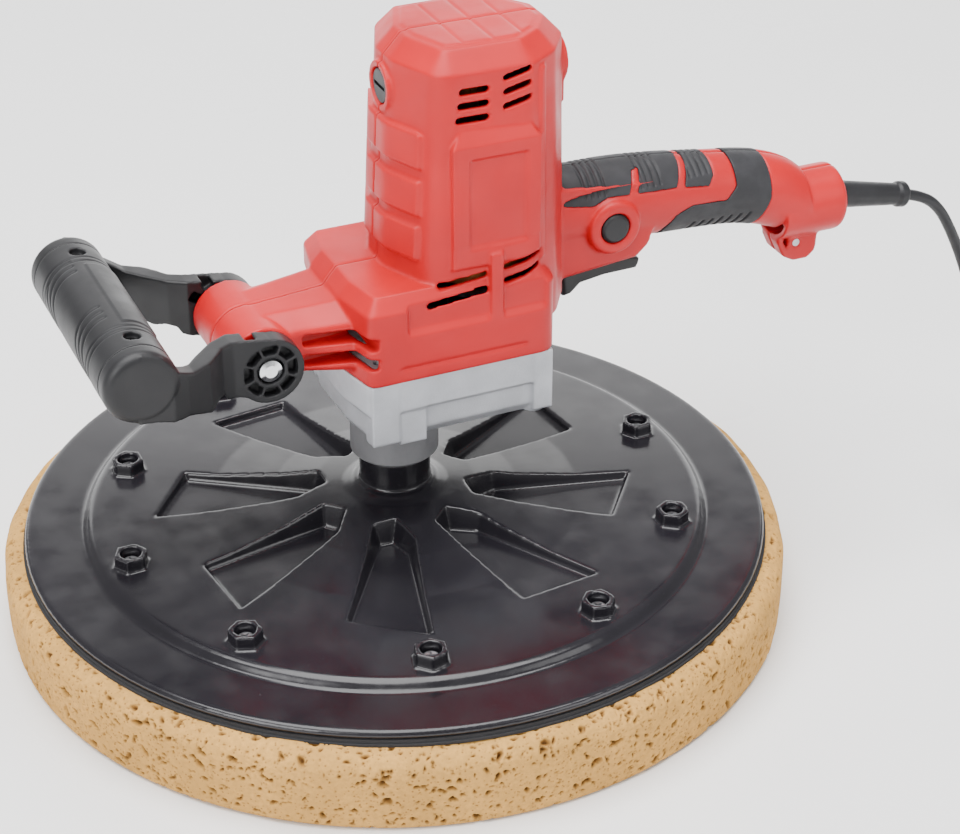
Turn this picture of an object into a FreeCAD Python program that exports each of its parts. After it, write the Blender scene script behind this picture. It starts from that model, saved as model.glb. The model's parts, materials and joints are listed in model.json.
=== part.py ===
"""Powered grout float: a sponge disc on a spindle gearbox, driven by an upright motor.

Frame: millimetres, origin on the spindle axis at the sponge's working face, +Z up,
+X towards the rear handle, and the casing splits into halves on the plane y = 0.
"""
import FreeCAD, Part
import math
import os
import re
import Sketcher
from FreeCAD import Placement, Rotation, Vector

DOC = FreeCAD.newDocument("grout_float")
SHEET = DOC.addObject("Spreadsheet::Sheet", "Dim")
NODES = []

# ---------------------------------------------------------------- driving dimensions
DIMENSIONS = {
    # sponge disc
    "sponge_radius": 190, "sponge_height": 38, "sponge_round": 9,
    "loop_radius": 181, "loop_thickness": 1.2, "hook_thickness": 1.8,
    "plate_radius": 180, "plate_edge": 4, "step_radius": 150, "step_height": 4,
    "hub_radius": 17.3, "hub_top": 77, "collar_radius": 21.5, "collar_top": 60,
    "hub_bore": 13, "pocket_count": 8, "pocket_floor": 46, "pocket_draft": 18,
    "boss_count": 10, "boss_circle": 135.7, "boss_radius": 8.2, "boss_top": 56,
    "boss_phase": 2.4, "screw_seat": 49, "screw_shank": 2, "screw_head": 4,
    "ring_inner": 128.5, "ring_outer": 143, "ring_thickness": 2.2,
    "insert_radius": 14, "insert_base": 50, "insert_top": 72, "thread_radius": 7,
    # reduction gears
    "module_low": 0.9, "module_high": 0.6, "teeth_output": 49, "teeth_pinion": 11,
    "teeth_idler": 59, "motor_x": 38.5, "running_gap": 0.05,
    # gearbox and neck
    "neck_radius": 21.3, "neck_bottom": 77.5, "case_bottom": 105, "case_top": 138,
    "case_wall": 4, "cover_thickness": 8,
    # casing
    "casing_wall": 3, "seam_gap": 0.15, "ledge_height": 160, "rim_height": 174,
    "shoulder_height": 181, "tower_top": 280, "crown_top": 289, "crown_inset": 8.5,
    "brush_height": 265, "barrel_x": -72, "barrel_height": 154, "barrel_radius": 16.5,
    "barrel_half": 26, "tail_radius": 17, "tail_height": 165.6, "tail_end": 238,
    # front handle
    "bar_x": -137.2, "bar_height": 173.6, "bar_radius": 17, "bar_half": 52,
    "arm_inner": 26.4, "arm_outer": 36, "cap_outer": 62, "bolt_radius": 4,
    # rear handle controls
    "button_x": 106.3, "button_height": 181.6, "button_radius": 7.2,
    "trigger_x": 88, "trigger_height": 161.5, "trigger_half": 7.5, "trigger_pin_half": 14,
    # cord
    "cord_radius": 2.8, "coil_radius": 38, "coil_x": 342, "coil_y": -91.4, "coil_pitch": 6,
    "coil_columns": 4, "coil_layers": 2,
}
SIZE = DIMENSIONS
ALIAS = re.compile(r"[a-z]+(?:_[a-z]+)+")
X_AXIS = Vector(1, 0, 0)
Y_AXIS = Vector(0, 1, 0)
Z_AXIS = Vector(0, 0, 1)


def fill_sheet():
    """Write every driving dimension to its own aliased cell."""
    for row, (alias, number) in enumerate(DIMENSIONS.items(), start=1):
        SHEET.set(f"A{row}", alias)
        SHEET.set(f"B{row}", str(number))
        SHEET.setAlias(f"B{row}", alias)
    DOC.recompute()


fill_sheet()


# ---------------------------------------------------------------- modelling helpers
def formula(text):
    """Turn the sheet's aliases in a text into references to its cells."""
    return ALIAS.sub(lambda word: "Dim." + word.group(), str(text))


def keep(item, label):
    """Register a finished sub-part under its node name."""
    item.Label = label
    NODES.append(item)
    return item


def place(item, where, rotation=Rotation()):
    """Put an object at three formulas, turned by a rotation."""
    item.Placement = Placement(Vector(), rotation)
    for letter, text in zip("xyz", where):
        item.setExpression(f"Placement.Base.{letter}", formula(text))


def new_body(name, where=("0", "0", "0"), rotation=Rotation()):
    """A PartDesign body at a place."""
    body = DOC.addObject("PartDesign::Body", name + "_body")
    place(body, where, rotation)
    return body


def origin_plane(body, role):
    """The body's own origin plane with that role."""
    return next(item for item in body.Origin.OriginFeatures if item.Role == role)


def outline_sketch(body, role, corners, lift="0"):
    """A closed sketch whose corners are pairs of formulas, on one of the body's planes."""
    sketch = body.newObject("Sketcher::SketchObject", body.Name + "_outline")
    sketch.AttachmentSupport = [(origin_plane(body, role), "")]
    sketch.MapMode = "FlatFace"
    sketch.setExpression("AttachmentOffset.Base.z", formula(lift))
    texts = [(formula(a), formula(b)) for a, b in corners]
    numbers = [(float(sketch.evalExpression(a)), float(sketch.evalExpression(b))) for a, b in texts]
    count = len(numbers)
    for index in range(count):
        start = Vector(*numbers[index], 0)
        end = Vector(*numbers[(index + 1) % count], 0)
        sketch.addGeometry(Part.LineSegment(start, end), False)
    for index in range(count):
        sketch.addConstraint(Sketcher.Constraint("Coincident", index, 2, (index + 1) % count, 1))
    for index in range(count):
        for kind, axis, text, number in (
            ("DistanceX", -2, texts[index][0], numbers[index][0]),
            ("DistanceY", -1, texts[index][1], numbers[index][1]),
        ):
            if number == 0:
                sketch.addConstraint(Sketcher.Constraint("PointOnObject", index, 1, axis))
                continue
            rule = sketch.addConstraint(Sketcher.Constraint(kind, -1, 1, index, 1, number))
            sketch.setExpression(f"Constraints[{rule}]", text)
    return sketch


def circle_sketch(body, role, radius, centre=("0", "0"), lift="0"):
    """A sketch of one circle, its radius and centre given as formulas."""
    sketch = body.newObject("Sketcher::SketchObject", body.Name + "_circle")
    sketch.AttachmentSupport = [(origin_plane(body, role), "")]
    sketch.MapMode = "FlatFace"
    sketch.setExpression("AttachmentOffset.Base.z", formula(lift))
    texts = [formula(text) for text in (*centre, radius)]
    x, y, r = (float(sketch.evalExpression(text)) for text in texts)
    sketch.addGeometry(Part.Circle(Vector(x, y, 0), Z_AXIS, r), False)
    for kind, axis, text, number in (("DistanceX", -2, texts[0], x), ("DistanceY", -1, texts[1], y)):
        if number == 0:
            sketch.addConstraint(Sketcher.Constraint("PointOnObject", 0, 3, axis))
            continue
        rule = sketch.addConstraint(Sketcher.Constraint(kind, -1, 1, 0, 3, number))
        sketch.setExpression(f"Constraints[{rule}]", text)
    rule = sketch.addConstraint(Sketcher.Constraint("Radius", 0, r))
    sketch.setExpression(f"Constraints[{rule}]", texts[2])
    return sketch


def add_pad(body, sketch, length):
    """Extrude a sketch upwards."""
    pad = body.newObject("PartDesign::Pad", sketch.Name + "_pad")
    pad.Profile = sketch
    pad.setExpression("Length", formula(length))
    sketch.Visibility = False
    return pad


def add_pocket(body, sketch, length, taper=None):
    """Cut a sketch upwards from its plane, and check that it removes material."""
    DOC.recompute()
    before = body.Shape.Volume
    pocket = body.newObject("PartDesign::Pocket", sketch.Name + "_pocket")
    pocket.Profile = sketch
    pocket.Reversed = True
    pocket.setExpression("Length", formula(length))
    if taper is not None:
        pocket.setExpression("TaperAngle", formula(taper))
    DOC.recompute()
    if body.Shape.Volume >= before:
        raise RuntimeError(f"{body.Name}: a pocket cuts nothing")
    return pocket


def add_pattern(body, feature, count):
    """Repeat a feature round the body's Z axis."""
    pattern = body.newObject("PartDesign::PolarPattern", feature.Name + "_ring")
    pattern.Originals = [feature]
    pattern.Axis = (next(item for item in body.Origin.OriginFeatures if item.Role == "Z_Axis"), [""])
    pattern.Angle = 360
    pattern.setExpression("Occurrences", formula(count))
    body.Tip = pattern
    DOC.recompute()
    return pattern


def revolved(label, corners, where=("0", "0", "0"), rotation=Rotation()):
    """A body turned from a half section of (radius, height) formulas."""
    body = new_body(label, where, rotation)
    sketch = outline_sketch(body, "XZ_Plane", corners)
    turn = body.newObject("PartDesign::Revolution", label + "_turn")
    turn.Profile = sketch
    turn.ReferenceAxis = (sketch, ["V_Axis"])
    turn.Angle = 360
    return keep(body, label)


def ring_corners(inner, outer, low, high):
    """The half section of a plain ring."""
    return [(inner, low), (outer, low), (outer, high), (inner, high)]


def shape_node(label, shape):
    """A sub-part whose shape is worked out directly."""
    item = DOC.addObject("Part::Feature", label + "_shape")
    item.Shape = shape
    item.Placement = Placement()
    return keep(item, label)


def cylinder(radius, height, base, axis=Z_AXIS):
    """A plain cylinder from a base point along an axis."""
    return Part.makeCylinder(radius, height, Vector(*base), axis)


def box(low, high):
    """A box between two corners."""
    return Part.makeBox(*(b - a for a, b in zip(low, high)), Vector(*low))


def prism(points, direction):
    """A polygon swept along a direction."""
    wire = Part.makePolygon([Vector(*point) for point in (*points, points[0])])
    return Part.Face(wire).extrude(Vector(*direction))


def side_prism(points, low, high):
    """A side-view polygon of (x, z) points, from one y to another."""
    return prism([(x, low, z) for x, z in points], (0, high - low, 0))


def mirrored(shape):
    """The same shape on the other side of the casing's split plane."""
    return shape.mirror(Vector(), Y_AXIS)


def both(shape):
    """A shape and its mirror image."""
    return [shape, mirrored(shape)]


def fused(shapes):
    """One solid from several overlapping ones."""
    first, *rest = shapes
    return first.fuse(rest).removeSplitter() if rest else first


def rounded_wire(corners, height, axes="xy"):
    """A closed wire through (a, b, radius) corners, every corner an arc."""
    def point(flat):
        return Vector(flat.x, flat.y, height) if axes == "xy" else Vector(height, flat.x, flat.y)

    stops = []
    count = len(corners)
    for index, (a, b, radius) in enumerate(corners):
        here = Vector(a, b, 0)
        back = (Vector(*corners[index - 1][:2], 0) - here).normalize()
        ahead = (Vector(*corners[(index + 1) % count][:2], 0) - here).normalize()
        half = back.getAngle(ahead) / 2
        reach = radius / math.tan(half)
        middle = (back + ahead).normalize()
        centre = here + middle * (radius / math.sin(half))
        stops.append((here + back * reach, centre - middle * radius, here + ahead * reach))
    edges = []
    for index, (start, top, end) in enumerate(stops):
        edges.append(Part.Arc(point(start), point(top), point(end)).toShape())
        following = stops[(index + 1) % count][0]
        edges.append(Part.LineSegment(point(end), point(following)).toShape())
    return Part.Wire(edges)


def whole(half):
    """A symmetric outline from its half on the near side, listed front to rear."""
    return half + [(x, -y, r) for x, y, r in reversed(half)]


def inset(corners, amount):
    """The same outline moved inwards, with its corner radii reduced to match."""
    result = []
    count = len(corners)
    points = [Vector(a, b, 0) for a, b, radius in corners]
    turn = sum(
        points[i].x * points[(i + 1) % count].y - points[(i + 1) % count].x * points[i].y
        for i in range(count)
    )
    side = 1 if turn > 0 else -1
    for index, (a, b, radius) in enumerate(corners):
        here = points[index]
        arrive = (here - points[index - 1]).normalize()
        leave = (points[(index + 1) % count] - here).normalize()
        first = Vector(-arrive.y, arrive.x, 0) * side
        second = Vector(-leave.y, leave.x, 0) * side
        bisector = (first + second).normalize()
        shift = bisector * (amount / bisector.dot(first))
        result.append((a + shift.x, b + shift.y, max(radius - amount, 1.0)))
    return result


def loft(sections, axes="xy"):
    """A ruled solid through (corners, height) sections with matching corners."""
    wires = [rounded_wire(corners, height, axes) for corners, height in sections]
    return Part.makeLoft(wires, True, True)


# ---------------------------------------------------------------- sponge disc
PLATE_BASE = "(sponge_height + loop_thickness + hook_thickness)"
PLATE_EDGE_TOP = f"{PLATE_BASE} + plate_edge"
INNER_TOP = f"{PLATE_EDGE_TOP} + step_height"
POCKET_CORNERS = [(115.5, -14.6), (106, -33.4), (41, -33), (38, -24), (49, -14.5)]


def polar(radius, angle, centre=("0", "0")):
    """Formulas for a point at a radius and an angle in degrees from a centre."""
    return (f"{centre[0]} + {radius} * cos({angle})", f"{centre[1]} + {radius} * sin({angle})")


def make_sponge():
    """The round sponge with its rolled top edge."""
    body = new_body("sponge_pad")
    pad = add_pad(body, circle_sketch(body, "XY_Plane", "sponge_radius"), "sponge_height")
    DOC.recompute()
    top = max(range(len(pad.Shape.Edges)), key=lambda index: pad.Shape.Edges[index].CenterOfMass.z)
    fillet = body.newObject("PartDesign::Fillet", "sponge_round")
    fillet.Base = (pad, [f"Edge{top + 1}"])
    fillet.setExpression("Radius", formula("sponge_round"))
    keep(body, "sponge_pad")


def make_backing_layers():
    """The loop cloth bonded to the sponge and the hook disc bonded to the plate."""
    revolved("loop_backing", ring_corners("0", "loop_radius", "0", "loop_thickness"),
             ("0", "0", "sponge_height"))
    revolved("hook_pad", ring_corners("0", "plate_radius", "0", "hook_thickness"),
             ("0", "0", "sponge_height + loop_thickness"))


def make_backing_plate():
    """The moulded plate: rim, raised dish, triangular pockets, screw bosses and hub."""
    body = new_body("backing_plate")
    groove_top = f"{PLATE_BASE} + ring_thickness + running_gap"
    section = outline_sketch(body, "XZ_Plane", [
        ("0", PLATE_BASE),
        ("ring_inner - running_gap", PLATE_BASE), ("ring_inner - running_gap", groove_top),
        ("ring_outer + running_gap", groove_top), ("ring_outer + running_gap", PLATE_BASE),
        ("plate_radius - 1", PLATE_BASE), ("plate_radius", f"{PLATE_BASE} + 1"),
        ("plate_radius", f"{PLATE_EDGE_TOP} - 1.5"), ("plate_radius - 1.5", PLATE_EDGE_TOP),
        ("step_radius + 2", PLATE_EDGE_TOP), ("step_radius - 1", f"{INNER_TOP} - 0.8"),
        ("step_radius - 3", INNER_TOP), ("step_radius * 0.6", f"{INNER_TOP} + 1.5"),
        ("step_radius * 0.4", f"{INNER_TOP} + 4.5"), ("step_radius * 0.26", f"{INNER_TOP} + 8"),
        ("collar_radius + 4", "collar_top - 1.5"), ("collar_radius", "collar_top"),
        ("collar_radius - 1.5", "collar_top + 1"), ("hub_radius", "collar_top + 1.6"),
        ("hub_radius", "hub_top - 1"), ("hub_radius - 1", "hub_top"), ("hub_bore", "hub_top"),
        ("hub_bore", "insert_top"), ("insert_radius + running_gap", "insert_top"),
        ("insert_radius + running_gap", "insert_base"), ("0", "insert_base"),
    ])
    turn = body.newObject("PartDesign::Revolution", "plate_turn")
    turn.Profile = section
    turn.ReferenceAxis = (section, ["V_Axis"])
    turn.Angle = 360
    corners = [polar(radius, angle) for radius, angle in POCKET_CORNERS]
    pocket = add_pocket(body, outline_sketch(body, "XY_Plane", corners, "pocket_floor"), "30",
                        "pocket_draft")
    add_pattern(body, pocket, "pocket_count")
    centre = polar("boss_circle", "boss_phase")
    hexagon = [polar("boss_radius", f"(boss_phase + {60 * side})", centre) for side in range(6)]
    boss = add_pad(body, outline_sketch(body, "XY_Plane", hexagon, f"{PLATE_EDGE_TOP}"),
                   f"boss_top - ({PLATE_EDGE_TOP})")
    add_pattern(body, boss, "boss_count")
    seat = add_pocket(body, circle_sketch(body, "XY_Plane", "screw_head + 0.9", centre, "screw_seat"),
                      "20")
    add_pattern(body, seat, "boss_count")
    hole = add_pocket(body, circle_sketch(body, "XY_Plane", "screw_shank + running_gap", centre,
                                          PLATE_BASE), "20")
    add_pattern(body, hole, "boss_count")
    keep(body, "backing_plate")


def ring_of(shape, count, phase=0.0, centre=Vector()):
    """Copies of a shape turned evenly about an upright axis."""
    copies = []
    for index in range(count):
        copy = shape.copy()
        copy.rotate(centre, Z_AXIS, phase + 360 * index / count)
        copies.append(copy)
    return copies


def make_plate_fixings():
    """The steel ring under the plate and the ten cross-headed screws that pull it up."""
    base = SIZE["sponge_height"] + SIZE["loop_thickness"] + SIZE["hook_thickness"]
    circle = SIZE["boss_circle"]
    ring = cylinder(SIZE["ring_outer"], SIZE["ring_thickness"], (0, 0, base))
    hole_radius = SIZE["screw_shank"] + SIZE["running_gap"]
    holes = ring_of(cylinder(hole_radius, 5, (circle, 0, base - 1)), SIZE["boss_count"], SIZE["boss_phase"])
    bore = cylinder(SIZE["ring_inner"], 5, (0, 0, base - 1))
    shape_node("clamp_ring", ring.cut([bore, *holes]))
    seat = SIZE["screw_seat"]
    head = cylinder(SIZE["screw_head"], 3, (circle, 0, seat))
    head = head.makeFillet(1.2, [edge for edge in head.Edges if edge.CenterOfMass.z > seat + 2.9])
    shank = cylinder(SIZE["screw_shank"], seat - base - 0.2, (circle, 0, base + 0.2))
    cross = [box((circle - 2.4, -0.5, seat + 1.2), (circle + 2.4, 0.5, seat + 4)),
             box((circle - 0.5, -2.4, seat + 1.2), (circle + 0.5, 2.4, seat + 4))]
    screw = head.fuse(shank).cut(cross)
    shape_node("plate_screws", Part.makeCompound(ring_of(screw, SIZE["boss_count"], SIZE["boss_phase"])))


def make_spindle():
    """The threaded insert in the hub and the stepped output spindle."""
    revolved("hub_insert", ring_corners("thread_radius + running_gap", "insert_radius", "insert_base",
                                        "insert_top"))
    revolved("spindle", [
        ("0", "insert_base + 2"), ("thread_radius - 1", "insert_base + 2"),
        ("thread_radius", "insert_base + 3"), ("thread_radius", "insert_top + 0.3"),
        ("hub_bore - 1", "insert_top + 0.3"), ("hub_bore - 1", "insert_top + 3.5"),
        ("7.5", "insert_top + 4.5"), ("7.5", "neck_bottom + 15.7"), ("9.5", "neck_bottom + 15.7"),
        ("9.5", "neck_bottom + 19"), ("8", "neck_bottom + 19"), ("8", "case_bottom + 19"),
        ("7", "case_bottom + 19"), ("7", "case_top - 4"), ("5", "case_top - 4"),
        ("5", "case_top + 5.5"), ("4.5", "case_top + 6"), ("0", "case_top + 6"),
    ])


# ---------------------------------------------------------------- reduction gears
def gear_centres():
    """Distances of the two gear meshes, and the idler axis between spindle and motor."""
    low = SIZE["module_low"] * (SIZE["teeth_output"] + SIZE["teeth_pinion"]) / 2
    high = SIZE["module_high"] * (SIZE["teeth_idler"] + SIZE["teeth_pinion"]) / 2
    motor = SIZE["motor_x"]
    x = (low ** 2 - high ** 2 + motor ** 2) / (2 * motor)
    y = math.sqrt(low ** 2 - x ** 2)
    return Vector(x, y, 0)


IDLER = gear_centres()
MOTOR = Vector(SIZE["motor_x"], 0, 0)
PRESSURE_ANGLE = math.radians(25)
BACKLASH = 0.12
GEAR_LEVELS = {"low": (113, 123), "pinion": (112, 124.5), "high": (126, 132), "motor": (125, 133.5)}


def spur_gear(teeth, module, bore, level, centre, turn):
    """An involute spur gear whose first tooth points along the turn angle, in degrees."""
    pitch = module * teeth / 2
    base = pitch * math.cos(PRESSURE_ANGLE)
    outer = pitch + 0.9 * module
    root = pitch - 1.2 * module
    half_tooth = math.pi / (2 * teeth) - BACKLASH / (4 * pitch)
    full = half_tooth + math.tan(PRESSURE_ANGLE) - PRESSURE_ANGLE

    def flank(radius):
        slope = math.acos(min(base / radius, 1.0))
        return full - (math.tan(slope) - slope)

    start = max(base, root)
    steps = 5
    radii = [start + (outer - start) * index / steps for index in range(steps + 1)]
    points = []
    for tooth in range(teeth):
        middle = 2 * math.pi * tooth / teeth
        rising = [(radius, middle - flank(radius)) for radius in radii]
        falling = [(radius, middle + flank(radius)) for radius in reversed(radii)]
        foot = flank(start)
        points += [(root, middle - foot), *rising, (outer, middle), *falling, (root, middle + foot)]
    low, high = level
    spin = math.radians(turn)
    polygon = [(centre.x + radius * math.cos(angle + spin), centre.y + radius * math.sin(angle + spin), low)
               for radius, angle in points]
    solid = prism(polygon, (0, 0, high - low))
    if bore:
        solid = solid.cut(cylinder(bore, high - low + 2, (centre.x, centre.y, low - 1)))
    return solid


def make_gears():
    """Output gear on the spindle, idler pair on its shaft, both meshing at rest."""
    teeth_pinion = SIZE["teeth_pinion"]
    gap = SIZE["running_gap"]
    to_idler = math.degrees(math.atan2(IDLER.y, IDLER.x))
    shape_node("output_gear", spur_gear(SIZE["teeth_output"], SIZE["module_low"], 8 + gap,
                                        GEAR_LEVELS["low"], Vector(), to_idler))
    shape_node("idler_pinion", spur_gear(teeth_pinion, SIZE["module_low"], 3 + gap,
                                         GEAR_LEVELS["pinion"], IDLER,
                                         to_idler + 180 + 180 / teeth_pinion))
    reach = MOTOR - IDLER
    to_motor = math.degrees(math.atan2(reach.y, reach.x))
    wheel = spur_gear(SIZE["teeth_idler"], SIZE["module_high"], 3 + gap, GEAR_LEVELS["high"], IDLER,
                      to_motor)
    low, high = GEAR_LEVELS["high"]
    web = cylinder(14.5, 1.6, (IDLER.x, IDLER.y, high - 1.5)).cut(
        cylinder(6, 3, (IDLER.x, IDLER.y, high - 2)))
    shape_node("idler_gear", wheel.cut(web))
    revolved("idler_shaft", ring_corners("0", "3", "case_bottom + 0.6", "case_top + 5.6"),
             (str(IDLER.x), str(IDLER.y), "0"))
    return spur_gear(teeth_pinion, SIZE["module_high"], 0, GEAR_LEVELS["motor"], MOTOR,
                     to_motor + 180 + 180 / teeth_pinion)


# ---------------------------------------------------------------- bearings
def bearing(label, inner, outer, low, thickness, where=("0", "0")):
    """A shielded ball bearing, drawn as one ring with its shields set back."""
    high = f"{low} + {thickness}"
    revolved(label, [
        (f"{inner} + running_gap", low), (f"{inner} + 1.6", low), (f"{inner} + 1.6", f"{low} + 0.5"),
        (f"{outer} - 1.8", f"{low} + 0.5"), (f"{outer} - 1.8", low), (outer, low),
        (outer, high), (f"{outer} - 1.8", high), (f"{outer} - 1.8", f"{high} - 0.5"),
        (f"{inner} + 1.6", f"{high} - 0.5"), (f"{inner} + 1.6", high), (f"{inner} + running_gap", high),
    ], (where[0], where[1], "0"))


def make_bearings():
    """Ball bearings of the spindle, idler and armature, and the idler's plain bush."""
    idler = (str(IDLER.x), str(IDLER.y))
    motor = ("motor_x", "0")
    bearing("spindle_bearing_lower", "7.5", "17.5", "neck_bottom + 4.5", "11")
    bearing("spindle_bearing_upper", "5", "11", "case_top", "6")
    bearing("idler_bearing", "3", "9.5", "case_top", "6", idler)
    revolved("idler_bush", ring_corners("3 + running_gap", "5.5", "case_bottom + 0.5",
                                        "case_bottom + 6"), (*idler, "0"))
    bearing("armature_bearing_lower", "5", "15", "case_top + cover_thickness", "9", motor)
    bearing("armature_bearing_upper", "4", "11", "tower_top - 5", "7", motor)


# ---------------------------------------------------------------- gearbox
CASE_OUTLINE = [(-33, -17, 9), (-28, -42, 5), (64.5, -42, 8)]
CASE_SCREWS = [(-21, 34.5), (57, 34.5)]
CASE_LEDGE = 122


def screw_points():
    """The four gearbox screw positions, two on each side."""
    return [(x, side * y) for x, y in CASE_SCREWS for side in (-1, 1)]


def make_gearbox():
    """The aluminium case with its corner pillars, the bearing plate above it and the screws."""
    low = SIZE["case_bottom"]
    top = SIZE["case_top"]
    outline = whole(CASE_OUTLINE)
    upper = loft([(outline, CASE_LEDGE), (outline, top)])
    lower = loft([(inset(outline, 6), low), (inset(outline, 2.2), low + 5)])
    middle = loft([(inset(outline, 2.2), low + 5), (inset(outline, 1.8), CASE_LEDGE)])
    pillars = []
    for x_low, x_high, y_face, z_low in ((-27, -13.5, 42.4, low + 1), (-13.5, 0, 41.4, low - 1),
                                         (54, 64, 42.2, low + 2)):
        pillars += both(box((x_low, -y_face, z_low), (x_high, -33, top)))
    columns = [cylinder(5.8, top - low, (x, y, low)) for x, y in screw_points()]
    cavity = loft([(inset(outline, SIZE["case_wall"] + 1.6), low + SIZE["case_wall"]),
                   (inset(outline, SIZE["case_wall"]), top + 1)])
    shell = fused([upper, lower, middle, *pillars]).cut(cavity)
    boss = cylinder(8, 6, (IDLER.x, IDLER.y, low))
    shell = fused([shell, boss, *columns])
    cuts = [cylinder(19.05, 10, (0, 0, low - 3)),
            cylinder(5.55, 10, (IDLER.x, IDLER.y, low + 0.5))]
    for x, y in screw_points():
        cuts.append(cylinder(2.1, top, (x, y, low - 1)))
        cuts.append(cylinder(3.9, 5, (x, y, low - 1)))
    for y_low, y_high in ((-43, -39.6), (39.6, 43)):
        cuts.append(box((49.5, y_low, low - 1), (53.8, y_high, CASE_LEDGE)))
    shape_node("gearbox_case", shell.cut(cuts))

    plate_outline = inset(whole(BASE_OUTLINE), SIZE["casing_wall"] + 1.2)
    plate = loft([(plate_outline, top), (plate_outline, top + SIZE["cover_thickness"])])
    seat = top + SIZE["cover_thickness"]
    plate = fused([plate, cylinder(18.5, 9, (MOTOR.x, 0, seat))])
    holes = [cylinder(11.05, 7, (0, 0, top - 1)), cylinder(9.55, 7, (IDLER.x, IDLER.y, top - 1)),
             cylinder(6.5, 20, (MOTOR.x, 0, top - 1)), cylinder(15.05, 10, (MOTOR.x, 0, seat))]
    holes += [cylinder(2.05, 20, (x, y, top - 1)) for x, y in screw_points()]
    shape_node("bearing_plate", plate.cut(holes))

    screws = []
    for x, y in screw_points():
        head = cylinder(3.5, 3.4, (x, y, low + 0.6)).cut(cylinder(1.8, 2, (x, y, low)))
        screws.append(head.fuse(cylinder(2, top - low + 3, (x, y, low + 4))))
    shape_node("gearbox_screws", Part.makeCompound(screws))

    revolved("spindle_neck", [
        ("10.5", "neck_bottom"), ("neck_radius - 1.5", "neck_bottom"),
        ("neck_radius", "neck_bottom + 1.5"), ("neck_radius", "case_bottom"), ("19", "case_bottom"),
        ("19", "case_bottom + 4"), ("12", "case_bottom + 4"), ("12", "neck_bottom + 15.6"),
        ("17.55", "neck_bottom + 15.6"), ("17.55", "neck_bottom + 4.5"), ("10.5", "neck_bottom + 4.5"),
    ])


# ---------------------------------------------------------------- motor
ARMATURE = {"fan": 156.5, "core": 182, "core_top": 230, "commutator": 256.5}


def make_armature(pinion):
    """The armature shaft with its cut pinion, fan, laminated core, windings and commutator."""
    x = MOTOR.x
    steps = [(2.4, 125, 134), (4.4, 134, 146), (5, 146, 156), (6, 156, 274), (4, 274, 281.8)]
    shaft = fused([pinion] + [cylinder(radius, high - low, (x, 0, low)) for radius, low, high in steps])
    shape_node("armature_shaft", shaft)

    low = ARMATURE["fan"]
    disc = cylinder(29, 1.8, (x, 0, low))
    hub = cylinder(10, 11, (x, 0, low))
    blade = box((x + 8, -0.8, low), (x + 28.5, 0.8, low + 10.5))
    fan = fused([disc, hub, *ring_of(blade, 11, centre=MOTOR)])
    shape_node("cooling_fan", fan.cut(cylinder(6.05, 20, (x, 0, low - 1))))

    bottom, top = ARMATURE["core"], ARMATURE["core_top"]
    slot = fused([box((x + 12, -2.2, bottom - 1), (x + 18.4, 2.2, top + 1)),
                  box((x + 17, -1, bottom - 1), (x + 22, 1, top + 1))])
    core = cylinder(20.8, top - bottom, (x, 0, bottom)).cut(cylinder(6.05, 60, (x, 0, bottom - 1)))
    shape_node("armature_core", core.cut(ring_of(slot, 12, centre=MOTOR)))

    bar = box((x + 12.3, -1.9, bottom - 2), (x + 18.1, 1.9, top + 2))
    domes = []
    for base, direction in ((bottom - 0.1, -1), (top + 0.1, 1)):
        dome = Part.makeCone(18.6, 14, 10, Vector(x, 0, base), Z_AXIS * direction)
        domes.append(dome)
    windings = fused([*domes, *ring_of(bar, 12, centre=MOTOR)])
    shape_node("armature_windings", windings.cut(cylinder(7, 90, (x, 0, bottom - 15))))

    low = ARMATURE["commutator"]
    drum = cylinder(12.5, 16, (x, 0, low)).cut(cylinder(6.05, 20, (x, 0, low - 1)))
    slit = box((x + 11.7, -0.2, low - 1), (x + 13, 0.2, low + 17))
    shape_node("commutator", drum.cut(ring_of(slit, 24, centre=MOTOR)))


def make_stator():
    """The field core, its two saddle coils, and the baffle ring that feeds the fan."""
    x = MOTOR.x
    bottom, top = ARMATURE["core"], ARMATURE["core_top"]
    core = cylinder(32, top - bottom, (x, 0, bottom)).cut(cylinder(21.5, 60, (x, 0, bottom - 1)))
    slots = []
    for angle in (40, 140, 220, 320):
        slot = cylinder(3.3, 60, (x + 26.8, 0, bottom - 1))
        slot.rotate(MOTOR, Z_AXIS, angle)
        slots.append(slot)
    shape_node("stator_core", core.cut(slots))
    coils = []
    for start in (40, 220):
        pieces = []
        for base in (bottom - 9, top + 0.4):
            sweep = Part.makeCylinder(30, 8.6, Vector(x, 0, base), Z_AXIS, 100)
            sweep = sweep.cut(cylinder(23.6, 20, (x, 0, base - 1)))
            sweep.rotate(MOTOR, Z_AXIS, start)
            pieces.append(sweep)
        for angle in (start, start + 100):
            leg = cylinder(3, top - bottom + 17.5, (x + 26.8, 0, bottom - 9))
            leg.rotate(MOTOR, Z_AXIS, angle)
            pieces.append(leg)
        coils.append(fused(pieces))
    shape_node("field_coils", Part.makeCompound(coils))
    revolved("air_baffle", [("24", "0"), ("36", "0"), ("36", "2"), ("26", "2"), ("24", "1")],
             ("motor_x", "0", "169.4"))


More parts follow.
